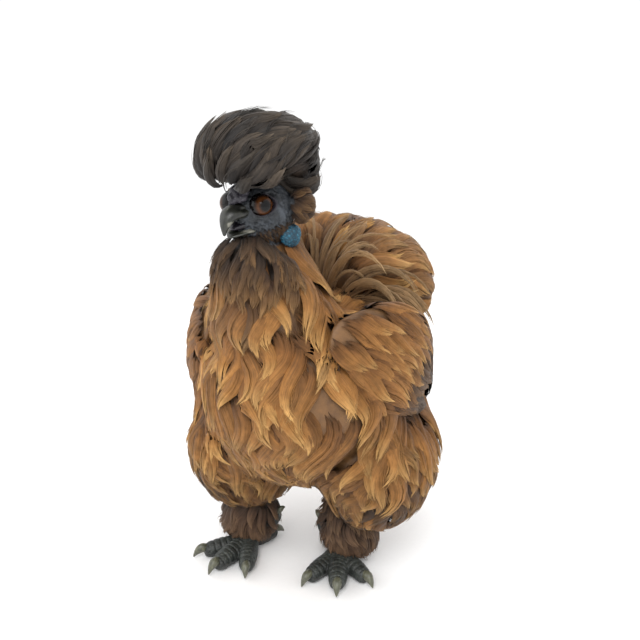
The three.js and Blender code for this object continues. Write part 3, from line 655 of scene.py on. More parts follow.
def strand_mesh(name, sets, places, tones_and_shade, marks):
    """Joins sets of strands into one mesh of closed bodies, with the coat and strand attributes and the
    OFBake map, where a lock is a small patch at its root's place on the unwrap of the form it grows on."""
    points, faces, reach = (np.concatenate(parts) for parts in zip(*sets))
    owner = np.concatenate([np.repeat(np.arange(len(tones_and_shade)), len(made[0]) // len(tones_and_shade)) for made in sets])
    count, per = reach.shape
    quads = [[1 + 3 * r + k, 4 + 3 * r + k, 4 + 3 * r + (k + 1) % 3, 1 + 3 * r + (k + 1) % 3]
             for r in range(RINGS - 1) for k in range(3)]
    last = 1 + 3 * (RINGS - 1)
    ends = [[0, 1 + k, 1 + (k + 1) % 3] for k in range(3)]
    ends += [[per - 1, last + (k + 1) % 3, last + k] for k in range(3)]
    loops = np.array([v for face in quads + ends for v in face])
    sizes = np.array([len(face) for face in quads + ends])
    mesh = bpy.data.meshes.new(name)
    mesh.vertices.add(count * per)
    mesh.vertices.foreach_set("co", placed(points.reshape(-1, 3)).astype(np.float32).ravel())
    mesh.loops.add(count * len(loops))
    order = (loops[None] + np.arange(count)[:, None] * per).ravel()
    mesh.loops.foreach_set("vertex_index", order.astype(np.int32))
    mesh.polygons.add(count * len(sizes))
    starts = np.concatenate([[0], np.cumsum(sizes)[:-1]])
    starts = starts[None] + np.arange(count)[:, None] * len(loops)
    mesh.polygons.foreach_set("loop_start", starts.ravel().astype(np.int32))
    mesh.update(calc_edges=True)
    blank = np.zeros((count, per))
    paint(mesh, "coat", [reach.ravel(), (tones_and_shade[owner][:, None] + blank).ravel().clip(0, 1),
                         (marks[owner][:, None] + blank).ravel().clip(0, 1)])
    across = np.concatenate([[0.5], np.tile([0.0, 1.0, 0.5], RINGS), [0.5]]) + blank
    own = (np.arange(count) * 0.618 % 1)[:, None] + blank
    paint(mesh, "strand", [across.ravel(), own.ravel()])
    spot = places[owner][:, None] * 0.96 + 0.02
    uv = (spot + np.stack([across, reach], -1) * PATCH).reshape(-1, 2)[order]
    mesh.uv_layers.new(name="OFBake").data.foreach_set("uv", uv.astype(np.float32).ravel())
    mesh.polygons.foreach_set("use_smooth", np.ones(len(mesh.polygons), bool))
    mesh.normals_split_custom_set_from_vertices(faces.reshape(-1, 3))
    return mesh


def mottle(points, size, seed=0):
    """A smooth random pattern from 0 to 1, with patches about size millimetres across."""
    rng = np.random.default_rng(1000 + seed)
    total = np.zeros(len(points))
    for _ in range(7):
        way = unit(rng.normal(size=3)) * TURN / (size * rng.uniform(0.7, 1.6))
        total += np.sin(points @ way + rng.uniform(0, TURN))
    return np.clip(0.5 + total / 5.2, 0, 1)


def plumage_mark(points):
    """How dark the down is at places on the body: the throat darkens in patches up towards the beard, the
    nape is shaded by the crest's brown, the thighs and lower body darken in patches towards the bottom,
    and the shanks darken towards the foot."""
    head = from_head(points)
    throat = smoothstep(-head[:, 1], -12, 12) * smoothstep(34 - np.abs(head[:, 0] + 2), 0, 18)
    bib = smoothstep(points[:, 2], 214, 254) * throat * (0.3 + 0.7 * mottle(points, 16, 1))
    nape = smoothstep(points[:, 2], 258, 285) * 0.45
    low = smoothstep(118 - points[:, 2], 0, 50)
    low_patches = low * (0.25 + 0.6 * smoothstep(mottle(points, 34, 2), 0.4, 0.8))
    foot = smoothstep(52 - points[:, 2], 0, 18) * 0.8
    speck = 0.25 * smoothstep(mottle(points, 22, 3), 0.5, 0.85)
    return np.maximum.reduce([bib, nape, low_patches, foot, speck]).clip(0, 1)


def body_lie(points, normal):
    """Down the breast and flanks, back along the back, out over the shoulders and in below the breast."""
    x, y, z = points[:, 0] - MIDLINE, points[:, 1], points[:, 2]
    behind = smoothstep(y, -30, 25)
    top = behind * smoothstep(normal[:, 2], 0.3, 0.8)
    low = smoothstep(140 - z, 0, 60) * smoothstep(-y, -20, 30)
    shoulder = smoothstep(z, 165, 205) * smoothstep(260 - z, 0, 30)
    outwards = 0.5 * shoulder * smoothstep(np.abs(x), 8, 40)
    inwards = 0.45 * low * smoothstep(np.abs(x), 4, 30)
    side = np.sign(x) * (outwards - inwards)
    return np.stack([side, 0.3 * behind + top, top - 1], -1)


def steady(way):
    """The lie of a coat that runs one way everywhere."""
    return lambda points, normal: np.broadcast_to(way, points.shape)


def outside(*tests):
    """Keeps points that lie outside forms by margins."""
    def keep(points):
        free = np.ones(len(points), bool)
        for form, margin in tests:
            free &= form.distance(points) > margin
        return free
    return keep


# Settings


def length_property(name, text, default):
    return bpy.props.FloatProperty(name=name, description=text, default=default, min=0, unit="LENGTH")


class PlumageSettings(bpy.types.PropertyGroup):
    lock_length: length_property("Lock length", "Length of a lock of the breast", 0.066)
    lock_width: length_property("Lock width", "Half the width of a lock of the breast", 0.0068)
    barb: length_property("Barb", "Half the width of a single barb", 0.00042)
    spacing: length_property("Spacing", "Distance between the roots of two locks", 0.011)
    wave: bpy.props.FloatProperty(name="Wave", description="How far a lock swings to each side",
                                  default=0.66, subtype="ANGLE")
    barbs: bpy.props.IntProperty(name="Barbs", description="Number of barbs in a lock", default=10, min=3)
    seed: bpy.props.IntProperty(name="Seed", description="Seed of the random spread", default=4)


class SkinSettings(bpy.types.PropertyGroup):
    voxel: length_property("Voxel", "Fineness of the skin", 0.0017)
    crease: length_property("Crease", "Depth of the folds of the face", 0.0009)


class StageSettings(bpy.types.PropertyGroup):
    floor: length_property("Floor", "Width of the floor", 6.0)
    key: bpy.props.FloatProperty(name="Key light", description="Power of the main light", default=13,
                                 unit="POWER")


# Pieces

EYE_LOOK = {"left": (0.90, -0.42, 0.04), "right": (-0.90, -0.42, 0.04)}


def eye_axis(side):
    return unit(np.array(EYE_LOOK[side]) @ HEAD_AXES)


def eye_centre(way):
    return in_head([way * EYE_SPREAD, 0, 0])


LID = 0.7  # thickness of an eyelid
LID_SLANT = math.radians(16)  # the almond of the eye rises towards the back


def ridged(points, size, seed):
    """Folds from 0 to 1 that run about size millimetres apart."""
    return 1 - np.abs(2 * mottle(points, size, seed) - 1)


def sculpt_face(mesh, crease):
    """Opens the eye sockets, raises the lids and folds the skin of the face."""
    points, way_out = own_frame(mesh), vertex_normals(mesh)
    head = from_head(points)
    near = smoothstep(5 - HEAD.distance(points), 0, 3) * smoothstep(-head[:, 1], -30, -12)
    lid = np.zeros(len(points))
    folds = np.zeros(len(points))
    for side, way in SIDES:
        axis, centre = eye_axis(side), eye_centre(way)
        away = points - centre
        height = dot(away, axis)
        back = unit(HEAD_AXES[1] - axis * (HEAD_AXES[1] @ axis))
        above = np.cross(back, axis) * -way
        slant = back * math.cos(LID_SLANT) + above * math.sin(LID_SLANT)
        rise = above * math.cos(LID_SLANT) - back * math.sin(LID_SLANT)
        radius = np.hypot(away @ slant, (away @ rise) * 1.5)
        facing = smoothstep(height, 0.0, 3.5)
        room = np.maximum(EYE_RADIUS + LID - np.linalg.norm(away, axis=1), 0)
        points = points + unit(away) * (room * facing * smoothstep(14 - radius, 0, 2))[:, None]
        points = points + axis * (facing * 1.3 * np.exp(-((radius - 8.5) / 1.3) ** 2))[:, None]
        opening = facing * smoothstep(7.5 - radius, 0, 0.8)
        points = points - axis * (opening * np.maximum(height - 1, 0))[:, None]
        rings = np.sin((radius + 3 * mottle(points, 9, 12)) * 2.0) * np.exp(-((radius - 12) / 3.2) ** 2)
        folds += facing * rings * 0.5 * smoothstep(radius, 8.6, 10)
        lid = np.maximum(lid, facing * smoothstep(9.9 - radius, 0, 1.6))
    folds += ridged(points * [1, 1, 1.5], 5, 13) + 0.6 * ridged(points, 2.6, 14) - 0.8
    jowl = 1 + smoothstep(-head[:, 2], 6, 14)
    points = points + way_out * (near * jowl * (1 - lid) * folds * crease / MM)[:, None]
    reshape(mesh, points)
    bare = smoothstep(5 - HEAD.distance(points), 0, 2.5) * smoothstep(-head[:, 1], -30, -22)
    bare *= smoothstep(CREST.distance(points), -7, -4) * smoothstep(BEARD.distance(points), -4, -2)
    dark = plumage_mark(points)
    for form in (CREST, FRINGE, BEARD, SHANKS["left"], SHANKS["right"]):
        dark = np.maximum(dark, smoothstep(-form.distance(points), 1, 4))
    legs = np.minimum(THIGHS["left"].distance(points), THIGHS["right"].distance(points))
    dark = np.where(legs < -2, plumage_mark(points), dark)
    paint(mesh, "skin", [lid, 1 - bare, dark])


def build_skin(settings):
    """One skin for the whole bird, below the down and bare on the face."""
    deep = [(TORSO, 11), (NECK, 10), (TAIL, 14), (CREST, 9.5), (FRINGE, 8), (BEARD, 6.5)]
    deep += [(MUFFS[side], 4) for side, _ in SIDES] + [(WINGS[side], 5) for side, _ in SIDES]
    deep += [(THIGHS[side], 11) for side, _ in SIDES] + [(SHANKS[side], 8) for side, _ in SIDES]
    forms = [HEAD] + [form.inner(depth) for form, depth in deep]
    mesh = fused(form_mesh("shells", forms, 48, 32), settings.voxel, passes=4)
    bm = bmesh.new()
    bm.from_mesh(mesh)
    face = [e for e in bm.edges if is_face(np.array([(v.co[:] - SHIFT) / MM for v in e.verts]))]
    bmesh.ops.subdivide_edges(bm, edges=face, cuts=1, use_grid_fill=True)
    bm.to_mesh(mesh)
    bm.free()
    sculpt_face(mesh, settings.crease)
    legs = [f"{part}_{side}" for part in ("thigh", "shank") for side, _ in SIDES]
    finish_piece(mesh, "skin", face_skin_material(), ["head", "neck", "torso", *legs])


def is_face(ends):
    """Whether points lie in the block round the face that gets a finer skin."""
    head = from_head(ends)
    return bool(np.all((head > [-30, -np.inf, -32]) & (head < [30, 26, 16])))


def build_eyes():
    for side, way in SIDES:
        bm = bmesh.new()
        made = bmesh.ops.create_uvsphere(bm, u_segments=48, v_segments=40, radius=EYE_RADIUS * MM)["verts"]
        axis = Vector(eye_axis(side))
        turn = Vector((0, 0, 1)).rotation_difference(axis).to_matrix().to_4x4()
        bmesh.ops.transform(bm, matrix=turn, verts=made)
        centre = placed(eye_centre(way))
        bmesh.ops.translate(bm, vec=Vector(centre), verts=made)
        mesh = mesh_of(bm, "eye")
        angle = np.arccos(np.clip(unit(coordinates(mesh) - centre) @ np.array(axis), -1, 1)) / math.pi
        paint(mesh, "iris", [angle])
        finish_piece(mesh, f"eyeball_{side}", eye_material(), [f"eye_{side}"])


UPPER_BEAK = head_form([(0, 1, -4), (0, -10, -4.3), (0, -17, -6.5), (0, -21, -11.8), (0, -22, -18.5)],
                       wide=[13.5, 9.8, 6.8, 4.0, 1.4], deep=[6.6, 5.9, 4.8, 3.1, 1.4], full=0.28)
LOWER_BEAK = head_form([(0, 3, -14.5), (0, -8, -17), (0, -17, -20)],
                       wide=[13.5, 9.6, 3.8], deep=[3, 2.4, 1.4], full=0.34)
MOUTH = head_form([(0, 5, -11.5), (0, -6, -12.5), (0, -14.5, -15)],
                  wide=[12, 8.4, 3.8], deep=[3.6, 3.2, 2.0], full=0.4)


def build_beak():
    """Both halves of the bill, a little open, and the dark lining of the mouth between them."""
    horn = horn_material(
        "bill_horn", [(0.25, "#0e0f0d"), (0.5, "#1c1d18"), (0.85, "#33342b"), (1.0, "#77756b")])
    for name, form in (("upper", UPPER_BEAK), ("lower", LOWER_BEAK)):
        mesh = form_mesh("bill", [form], 56, 48)
        points = own_frame(mesh)
        head = from_head(points)
        if name == "upper":
            for way in (1, -1):
                away = (head - [way * 8.4, -11.5, -1.8]) / [2.6, 2.8, 1.3]
                pit = np.exp(-dot(away, away))
                head[:, 0] -= way * 2.6 * pit
            low = smoothstep(-head[:, 2], 7, 9.5)
            head[:, 2] += 2.4 * low * np.exp(-(head[:, 0] / 5.5) ** 2) * smoothstep(head[:, 1], -20, -16)
            rim = smoothstep(-head[:, 2], 8.2, 10) * smoothstep(np.abs(head[:, 0]), 1.5, 5)
            # Painted highlight: a paler band along the upper bill's ridge; the pale cutting edges are the
            # horn's own colour.
            ridge = np.exp(-(head[:, 0] / 1.6) ** 2) * smoothstep(head[:, 2], -8, 1)
            rim = np.maximum(rim, ridge * 0.5)
        else:
            trough = np.exp(-(head[:, 0] / 5) ** 2) * smoothstep(head[:, 2], -18.5, -15)
            head[:, 2] -= 2.4 * trough
            rim = smoothstep(head[:, 2], -18.5, -16) * (1 - trough)
        reshape(mesh, in_head(head))
        paint(mesh, "rim", [rim.clip(0, 1)])
        finish_piece(mesh, f"bill_{name}", horn, [f"beak_{name}"])
    lining = wrinkled_material(
        "mouth_lining", [(0.3, "#07060a"), (0.7, "#15101a"), (1.1, "#241a2a")], 0.002, 0.35)
    finish_piece(form_mesh("mouth", [MOUTH], 32, 24), "mouth_lining", lining)


COMB_BULBS = [  # left, back, up and radius of each
    (-3.2, -10, 4.8, 3.3), (3, -10.4, 4.6, 3.2), (0, -12.4, 3, 2.7), (-4, -6, 8.6, 3.9),
    (3.8, -6.6, 8.8, 3.9), (0, -8.6, 6.8, 3.2), (-0.6, -14, 2.2, 1.7), (5.6, -8.4, 5.2, 2.5),
    (-6, -8, 5, 2.5),
]


def build_comb():
    """A walnut comb: small bulbs pressed into one lump over the bill."""
    bm = bmesh.new()
    for x, y, z, r in COMB_BULBS:
        made = bmesh.ops.create_icosphere(bm, subdivisions=3, radius=r * MM)["verts"]
        bmesh.ops.translate(bm, vec=Vector(placed(in_head([x, y, z]))), verts=made)
    mesh = fused(mesh_of(bm, "bulbs"), 0.0006, passes=3)
    flesh = wrinkled_material(
        "comb_flesh", [(0.3, "#1d1b20"), (0.6, "#35323a"), (0.95, "#55525a")], 0.0019, 0.5)
    finish_piece(mesh, "walnut_comb", flesh, ["comb"])


def build_earlobes():
    flesh = wrinkled_material(
        "earlobe_flesh", [(0.25, "#091b26"), (0.5, "#133a4b"), (0.8, "#235f76"), (1.0, "#3f8799")],
        0.0022, 0.5, depth=0.0012)
    for side, way in SIDES:
        form = head_form([(way * 20, 11, -22), (way * 23.5, 18.5, -21), (way * 22.5, 26, -17)],
                         wide=[5.5, 7.4, 6], deep=[3.4, 4.4, 3.8], side=UP, full=0.45)
        mesh = form_mesh("earlobe", [form], 72, 56)
        points = own_frame(mesh)
        folds = ridged(points * [1, 1.6, 0.8], 3.4, 15 + way) + 0.5 * ridged(points, 1.8, 18) - 0.7
        reshape(mesh, points + vertex_normals(mesh) * folds[:, None] * 0.55)
        finish_piece(mesh, f"turquoise_earlobe_{side}", flesh, [f"earlobe_{side}"])


def grow_locks(name, field, roots, places, material, *, lie, length, half_width, bed, lift,
               crown, seed, ribbons, mark, barbs=(9, 0.42), wave=0.4, fray=0.4, stray=4.0,
               outline=lock_outline, stands_for=(), rise=0.8, tone_and_shade=0.5, guides=None):
    """Grows locks from roots on a field, or along guides where these are given: broad strands that close
    the coat, and fine barbs over them, each as (number, half width). A coat of too many triangles for one
    piece becomes several, side by side."""
    count = len(roots)
    if not count:
        raise RuntimeError(f"{name} has no roots")
    each = (ribbons[0] + barbs[0]) * STRAND_TRIANGLES
    pieces = math.ceil(count * each / PIECE_TRIANGLES)
    length, half_width, mark, tone_and_shade = (np.broadcast_to(v, count) for v in (length, half_width, mark, tone_and_shade))
    for number, chosen in enumerate(np.array_split(np.argsort(roots[:, 0]), pieces)):
        rng = np.random.default_rng(seed + 1000 * number)
        some = len(chosen)
        phase = mottle(roots[chosen], SWELL, seed) * 1.4 + rng.uniform(-0.07, 0.07, some)
        size = rng.uniform(0.8, 1.15, some)
        if guides is None:
            paths = walk(field, roots[chosen], lie, length[chosen] * size, bed,
                         lift + rng.uniform(-0.8, 0.8, some), wave, phase, rise)
            # A lock whose path trips over a crease is left out.
            even = dot(paths[2][:, 1:], paths[2][:, :-1]).min(1) > 0.5
            chosen, paths = chosen[even], [part[even] for part in paths]
        else:
            paths = [part[chosen] for part in guides]
        some = len(chosen)
        wide = half_width[chosen] * rng.uniform(0.8, 1.2, some)
        sets = [strands(paths, wide * 0.9, *ribbons, crown, rng, outline, fray, 0, 0.3),
                strands(paths, wide, *barbs, crown + 0.5, rng, outline, fray, stray, 0.7)]
        patch = 0.25 * (mottle(roots[chosen], 40, seed + 5) - 0.5)
        # A lock's tone carries any painted shade it is given, with random patches and a random share of its
        # own.
        tones_and_shade = tone_and_shade[chosen] + patch + rng.uniform(-0.14, 0.14, some)
        marks = mark[chosen] + rng.uniform(-0.08, 0.08, some)
        label = name if pieces == 1 else f"{name}_{number + 1}"
        mesh = strand_mesh(label, sets, places[chosen], tones_and_shade, marks)
        finish_piece(mesh, label, material, stands_for)


BREAST_ENDS = -8  # the y at which the breast's coat gives way to the back's
BIB_TOP = EYES_AT[2] - 40  # below it the beard's form carries the mantle's coat
BEARD_ENDS = EYES_AT[2] - 46  # above it the beard's form carries its own


def of_part(part, roots):
    """Which of the roots on a form belong to a part of the mantle."""
    if part == "breast":
        return roots[:, 1] < BREAST_ENDS
    if part == "back":
        return roots[:, 1] >= BREAST_ENDS
    if part == "bib":
        return roots[:, 2] < BIB_TOP
    return np.ones(len(roots), bool)


def build_plumage(settings):
    """The mantle of down over neck, breast, back and thighs."""
    down = down_material("buff_down", BUFF, DARK)
    spacing, wide = settings.spacing / MM, settings.lock_width / MM
    hidden = [(HEAD, 1), (CREST, -8), (WINGS["left"], -7), (WINGS["right"], -7), (TAIL, -14)]
    parts = [("breast", TORSO), ("back", TORSO), ("neck", NECK), ("thigh_left", THIGHS["left"]),
             ("thigh_right", THIGHS["right"]), ("bib", BEARD)]
    for k, (part, form) in enumerate(parts):
        leg = part.startswith("thigh")
        others = [(other, 0.5) for _, other in parts if other is not form]
        room = spacing * (0.8 if leg else 1)
        roots, places = scatter(form, room, settings.seed + k, keep=outside(*hidden, *others))
        here = of_part(part, roots)
        roots, places = roots[here], places[here]
        length = settings.lock_length / MM * (0.6 if leg else 1.0)
        short = np.clip((roots[:, 2] - 20) / length, 0.45, 1)
        # Painted shade: the down's tone darkens towards the bottom of the body, where shade falls.
        tone_and_shade = 0.55 - 0.5 * smoothstep(180 - roots[:, 2], 0, 90)
        field = neck_field if part in ("bib", "neck", "breast") else body_field
        grow_locks("down_" + part, field, roots, places, down,
                   lie=body_lie, length=length * short, half_width=wide * (0.78 if leg else 1),
                   bed=10, lift=-4 if leg else -2, crown=1.6 if leg else 2.2, seed=settings.seed + 10 * k,
                   wave=settings.wave, mark=plumage_mark(roots), tone_and_shade=tone_and_shade, ribbons=(6, 2.4),
                   barbs=(settings.barbs, settings.barb / MM))


PARTING = in_head([-1, -12, 9])
CREST_SHOULDER = EYES_AT[2] + 26  # above it the crest's loose points grow


def crest_lie(points, normal):
    """Up and back from the parting over the forehead."""
    return unit(points - PARTING) + np.array([0, 0.2, 0])


def build_crest():
    """The crest rises from its parting over the forehead and sweeps back in broad smooth locks, with a few
    loose points on top and thin wisps at its edges."""
    feather = down_material("crest_down", CREST_PALE, CREST_DARK, sheen=0.04, roughness=0.5)
    for name, form, other, spacing in (
            ("crest_locks", CREST, FRINGE, 7.6), ("fringe_locks", FRINGE, CREST, 6.4)):
        roots, places = scatter(form, spacing, 31, keep=outside((other, 0), (HEAD, 0)))
        near = np.linalg.norm(roots - PARTING, axis=1)
        mark = 0.25 + smoothstep(mottle(roots, 18, 9), 0.3, 0.8) * 0.6
        grow_locks(name, crest_field, roots, places, feather, lie=crest_lie,
                   length=np.clip(near * 1.2 + 10, 26, 64), half_width=np.clip(near * 0.17, 3.6, 6.4),
                   ribbons=(6, 2.0), barbs=(9, 0.36), bed=8, lift=-1.5, crown=1.9, seed=32, wave=0.3,
                   stands_for=["crest"], mark=mark, fray=0.3, stray=5.0, rise=0.6)
    roots, places = scatter(CREST, 21, 35, keep=lambda points: points[:, 2] > CREST_SHOULDER)
    grow_locks("crest_points", crest_field, roots, places, feather, lie=crest_lie, length=34,
               half_width=3.4, ribbons=(5, 1.4), barbs=(6, 0.34), bed=2, lift=4, crown=1.4, seed=36,
               wave=0.3, mark=0.3, fray=0.2, stray=1.0, rise=1.8)
    roots, places = scatter(CREST, 17, 37, keep=outside((HEAD, 4)))
    grow_locks("crest_wisps", crest_field, roots, places, feather, lie=crest_lie, length=40,
               half_width=1.0, ribbons=(1, 0.5), barbs=(3, 0.26), bed=1, lift=2.5, crown=0.3, seed=38,
               wave=0.5, mark=0.7, fray=0.6, stray=3.0, rise=1.4)


def on_jaw(points):
    head = from_head(points)
    return (head[:, 2] < -13 + 0.25 * head[:, 1]) & (head[:, 1] < 22) & (np.abs(head[:, 0]) > 4)


def build_beard():
    """Beard, muffs and bristles of the jaw, of fine dark hair-like down."""
    hair = down_material("beard_down", BEARD_PALE, DARK)
    roots, places = scatter(BEARD, 5.2, 41, keep=outside((HEAD, -1)))
    high = roots[:, 2] > BEARD_ENDS
    roots, places = roots[high], places[high]
    grow_locks("beard_down", neck_field, roots, places, hair, length=27, half_width=3.4,
               lie=steady([0, 0.1, -1.0]), ribbons=(4, 1.2), barbs=(10, 0.3),
               bed=5, lift=-0.5, crown=1.2, seed=42, wave=0.4, fray=0.4,
               mark=0.85 - 0.75 * smoothstep(EYES_AT[2] - 22 - roots[:, 2], 0, 24), stands_for=["beard"])
    roots, places = scatter(HEAD, 2.5, 45, keep=on_jaw)
    grow_locks("jaw_bristles", HEAD.distance, roots, places, hair, length=9, half_width=1.2,
               lie=steady([0, 0.8, -0.8]), ribbons=(1, 0.5), barbs=(4, 0.22),
               bed=1, lift=1.6, crown=0.3, seed=46, wave=0.4, mark=0.75, fray=0.5, stray=2)
    for side, way in SIDES:
        form = MUFFS[side]
        back = np.array([way * 0.35, 1.0, -0.5])
        roots, places = scatter(form, 3.4, 51 + way, keep=outside((HEAD, 0.3)))
        front = smoothstep(dot(roots - EYES_AT, HEAD_AXES[1]), 12, 24)
        grow_locks(f"muff_down_{side}", form.distance, roots, places, hair, length=14,
                   half_width=2.2, lie=steady(back), ribbons=(3, 0.8),
                   barbs=(8, 0.26), bed=3.5, lift=-0.3, crown=0.8, seed=52 + way, wave=0.3,
                   mark=0.5 - 0.3 * front, fray=0.3, stray=2, stands_for=[f"muff_{side}"])


def build_wings():
    """Folded wings: narrow down that lies close along them, brown towards the tip."""
    down = down_material("wing_down", BUFF, DARK)
    for side, way in SIDES:
        form = WINGS[side]
        roots, places = scatter(form, 8, 61 + way, keep=outside((TORSO.inner(8), 0)))
        back = unit(form.spine[-1] - form.spine[0] + np.array([0, 6, -6]))
        tip = smoothstep(places[:, 1] - 0.12 * mottle(roots, 25, 65), 0.36, 0.56)
        grow_locks(f"wing_down_{side}", form.distance, roots, places, down, length=44,
                   half_width=4.6, lie=steady(back), ribbons=(5, 1.7), barbs=(9, 0.3),
                   bed=4.5, lift=-0.8, crown=0.9, seed=62 + way, wave=0.25, rise=0.45,
                   mark=np.maximum(tip * 0.85, 0.08), fray=0.3, stray=2, stands_for=[f"wing_{side}"])


TAIL_BASE = np.array([MIDLINE + 6, 34.0, 200.0])


def tail_lie(points, normal):
    """The tail's down springs from one place on the back and falls over its cushion on every side."""
    return unit(points - TAIL_BASE) + np.array([0, 0, -0.35])


PLUME_BEND = 0.42


def arching(starts, heading, length, clear):
    """Paths of plumes that spring up and arch over under their own weight, clear of the tail's cushion."""
    points, ahead = starts.copy(), unit(heading)
    path, outward = [], []
    for i in range(SEGMENTS + 1):
        path.append(points)
        outward.append(normals(TAIL.distance, points))
        points = points + ahead * (length / SEGMENTS)[:, None]
        ahead = unit(ahead - UP * (PLUME_BEND * (0.5 + i / SEGMENTS)))
        depth = np.maximum(clear * min(1, i / 3) - TAIL.distance(points), 0)
        points = points + normals(TAIL.distance, points) * depth[:, None]
    path, outward = np.stack(path, 1), np.stack(outward, 1)
    along_path = unit(np.gradient(path, axis=1))
    across = unit(np.cross(along_path, outward))
    return path, across, np.cross(across, along_path)


def build_tail():
    cushion = down_material("tail_down", BUFF, STRAP_DARK)
    straps = down_material("tail_plume", STRAP_PALE, STRAP_DARK, sheen=0.12, roughness=0.55)
    keep = outside((TORSO, 1), (NECK, 2), (WINGS["left"], 0), (WINGS["right"], 0))
    roots, places = scatter(TAIL, 10.5, 71, keep=keep)
    grow_locks("tail_cushion", TAIL.distance, roots, places, cushion, lie=tail_lie, length=52,
               half_width=6.4, bed=12, lift=-5, crown=2.0, seed=72, wave=0.45, stands_for=["tail"],
               ribbons=(6, 2.1), mark=0.45 * smoothstep(mottle(roots, 30, 7), 0.4, 0.9))
    rng = np.random.default_rng(73)
    for name, number, reach, wide, lowest in (
            ("strap_plumes", 64, (65, 95), 2.6, 0.3), ("thin_plumes", 22, (80, 105), 1.1, 0.8)):
        angle = rng.uniform(-0.3, math.pi + 0.3, number)
        steep = np.arcsin(rng.uniform(lowest, 1, number))
        level = np.cos(steep)
        heading = np.stack([np.cos(angle) * level, np.sin(angle) * level, np.sin(steep)], -1)
        starts = TAIL_BASE + heading * [28, 14, 8] + rng.uniform(-4, 4, (number, 3))
        length = rng.uniform(*reach, number)
        guides = arching(starts, heading, length, rng.uniform(0.5, 3.0, number))
        spots = np.stack([angle / TURN % 1, steep / math.pi + 0.25], -1)
        grow_locks(name, TAIL.distance, starts, spots, straps, lie=tail_lie, length=length,
                   half_width=wide, bed=0, lift=0, crown=0.6, seed=74, mark=0.3, outline=strap_outline,
                   fray=0.2, stray=1.0, ribbons=(3, wide * 0.42), barbs=(6, 0.3), guides=guides)


def build_shanks():
    """Ragged brown down on the shanks, over the roots of the toes."""
    down = down_material("shank_down", SHANK_PALE, SHANK_DARK)
    for side, way in SIDES:
        form = SHANKS[side]
        roots, places = scatter(form, 5.6, 81 + way, keep=outside((THIGHS[side], -8)))
        short = np.clip((roots[:, 2] - 4) / 26, 0.45, 1)
        spread = np.array([way * 0.4, 0.3, -1.0])
        grow_locks(f"shank_down_{side}", form.distance, roots, places, down, length=28 * short,
                   half_width=3.6, lie=steady(spread), ribbons=(4, 1.3),
                   barbs=(8, 0.34), bed=7, lift=2.5, crown=1.0, seed=82 + way, wave=0.45, mark=0.45,
                   fray=0.5, stray=6, tone_and_shade=0.35)


# Inner, middle, outer, hind and fifth toe: turn from the foot's heading in degrees, length, share of the
# toes' radius, and how high the toe is carried, which is 0 where it lies on the ground.
TOES = [(-33, 40, 0.95, 0), (0, 43.5, 1.02, 0), (34, 39, 0.95, 0), (196, 26, 0.8, 0), (222, 24, 0.62, 17)]


def toe_spine(side, way, toe):
    turn, length, share, lifted = toe
    x, y, heading = FEET_AT[side]
    angle = math.radians(heading + way * turn)
    ahead = np.array([math.sin(angle), -math.cos(angle), 0])
    r = TOE_RADIUS * share

    def at(reach, height):
        return np.array([x, y, 0]) + ahead * reach * length + UP * height

    if lifted:
        return [at(0, 15), at(0.45, lifted - 1), at(0.8, lifted + 4), at(1, lifted + 10)]
    return [at(0, 11), at(0.3, r * 0.9), at(0.65, r * 0.86), at(1, r * 0.8)]


def toe_form(side, way, toe):
    length, r = toe[1], TOE_RADIUS * toe[2]
    plates = round(length / 4.2)

    def scutes(s, turn):
        """Broad plates across the top, each with a raised front edge, over a soft padded sole."""
        top = smoothstep(np.cos(turn), -0.1, 0.35)
        step = (s * plates) % 1
        pads = 0.05 * np.abs(np.sin(math.pi * s * 4)) * (1 - top)
        return 0.96 + top * 0.13 * smoothstep(step, 0.0, 0.25) * smoothstep(1 - step, 0, 0.12) + pads

    return Form(toe_spine(side, way, toe), [r * 1.1, r, r, r * 0.96], [r * 1.1, r * 1.04, r * 1.04, r],
                side=(0.3, 0.2, 0.9), full=0.2, relief=scutes)


def claw_form(side, way, toe):
    spine = toe_spine(side, way, toe)
    end, r = spine[3], TOE_RADIUS * toe[2]
    ahead = unit(end - spine[2])

    def at(reach, rise):
        return end + ahead * reach + UP * rise

    return Form([at(-3, r * 0.35), at(2, r * 0.45), at(6, 0.1 * r), at(9, -r * 0.45)],
                [r * 0.62, r * 0.58, r * 0.38, r * 0.14], [r * 0.55, r * 0.5, r * 0.34, r * 0.12],
                side=(0.3, 0.2, 0.9), full=0.35)


def build_feet():
    scales = wrinkled_material(
        "foot_scale", [(0.25, "#121412"), (0.5, "#242725"), (0.85, "#3e423e"), (1.0, "#565a55")],
        0.0022, 0.5, depth=0.0004)
    horn = horn_material("claw_horn", [(0.25, "#35362d"), (0.6, "#5f604f"), (1.0, "#8c8b76")])
    for side, way in SIDES:
        x, y = FEET_AT[side][:2]
        root = Form([(x, y + 3, 36), (x, y + 1, 22), (x, y, 7)], [8, 8.5, 12], [8, 8.5, 11], full=0.3)
        bm = bmesh.new()
        add_form(bm, root, 32, 24)
        for toe in TOES:
            add_form(bm, toe_form(side, way, toe), 40, 110)
        mesh = fused(mesh_of(bm, "toes"), 0.0006, passes=1, sink=0.3)
        points = own_frame(mesh)
        points[:, 2] = np.maximum(points[:, 2], 0)
        reshape(mesh, points)
        finish_piece(mesh, f"scaled_foot_{side}", scales, [f"foot_{side}"])
        for number, toe in enumerate(TOES, 1):
            claw = form_mesh("claw", [claw_form(side, way, toe)], 24, 20)
            paint(claw, "rim", [np.zeros(len(claw.vertices))])
            finish_piece(claw, f"horn_claw_{side}_{number}", horn, [f"claw_{side}_{number}"])


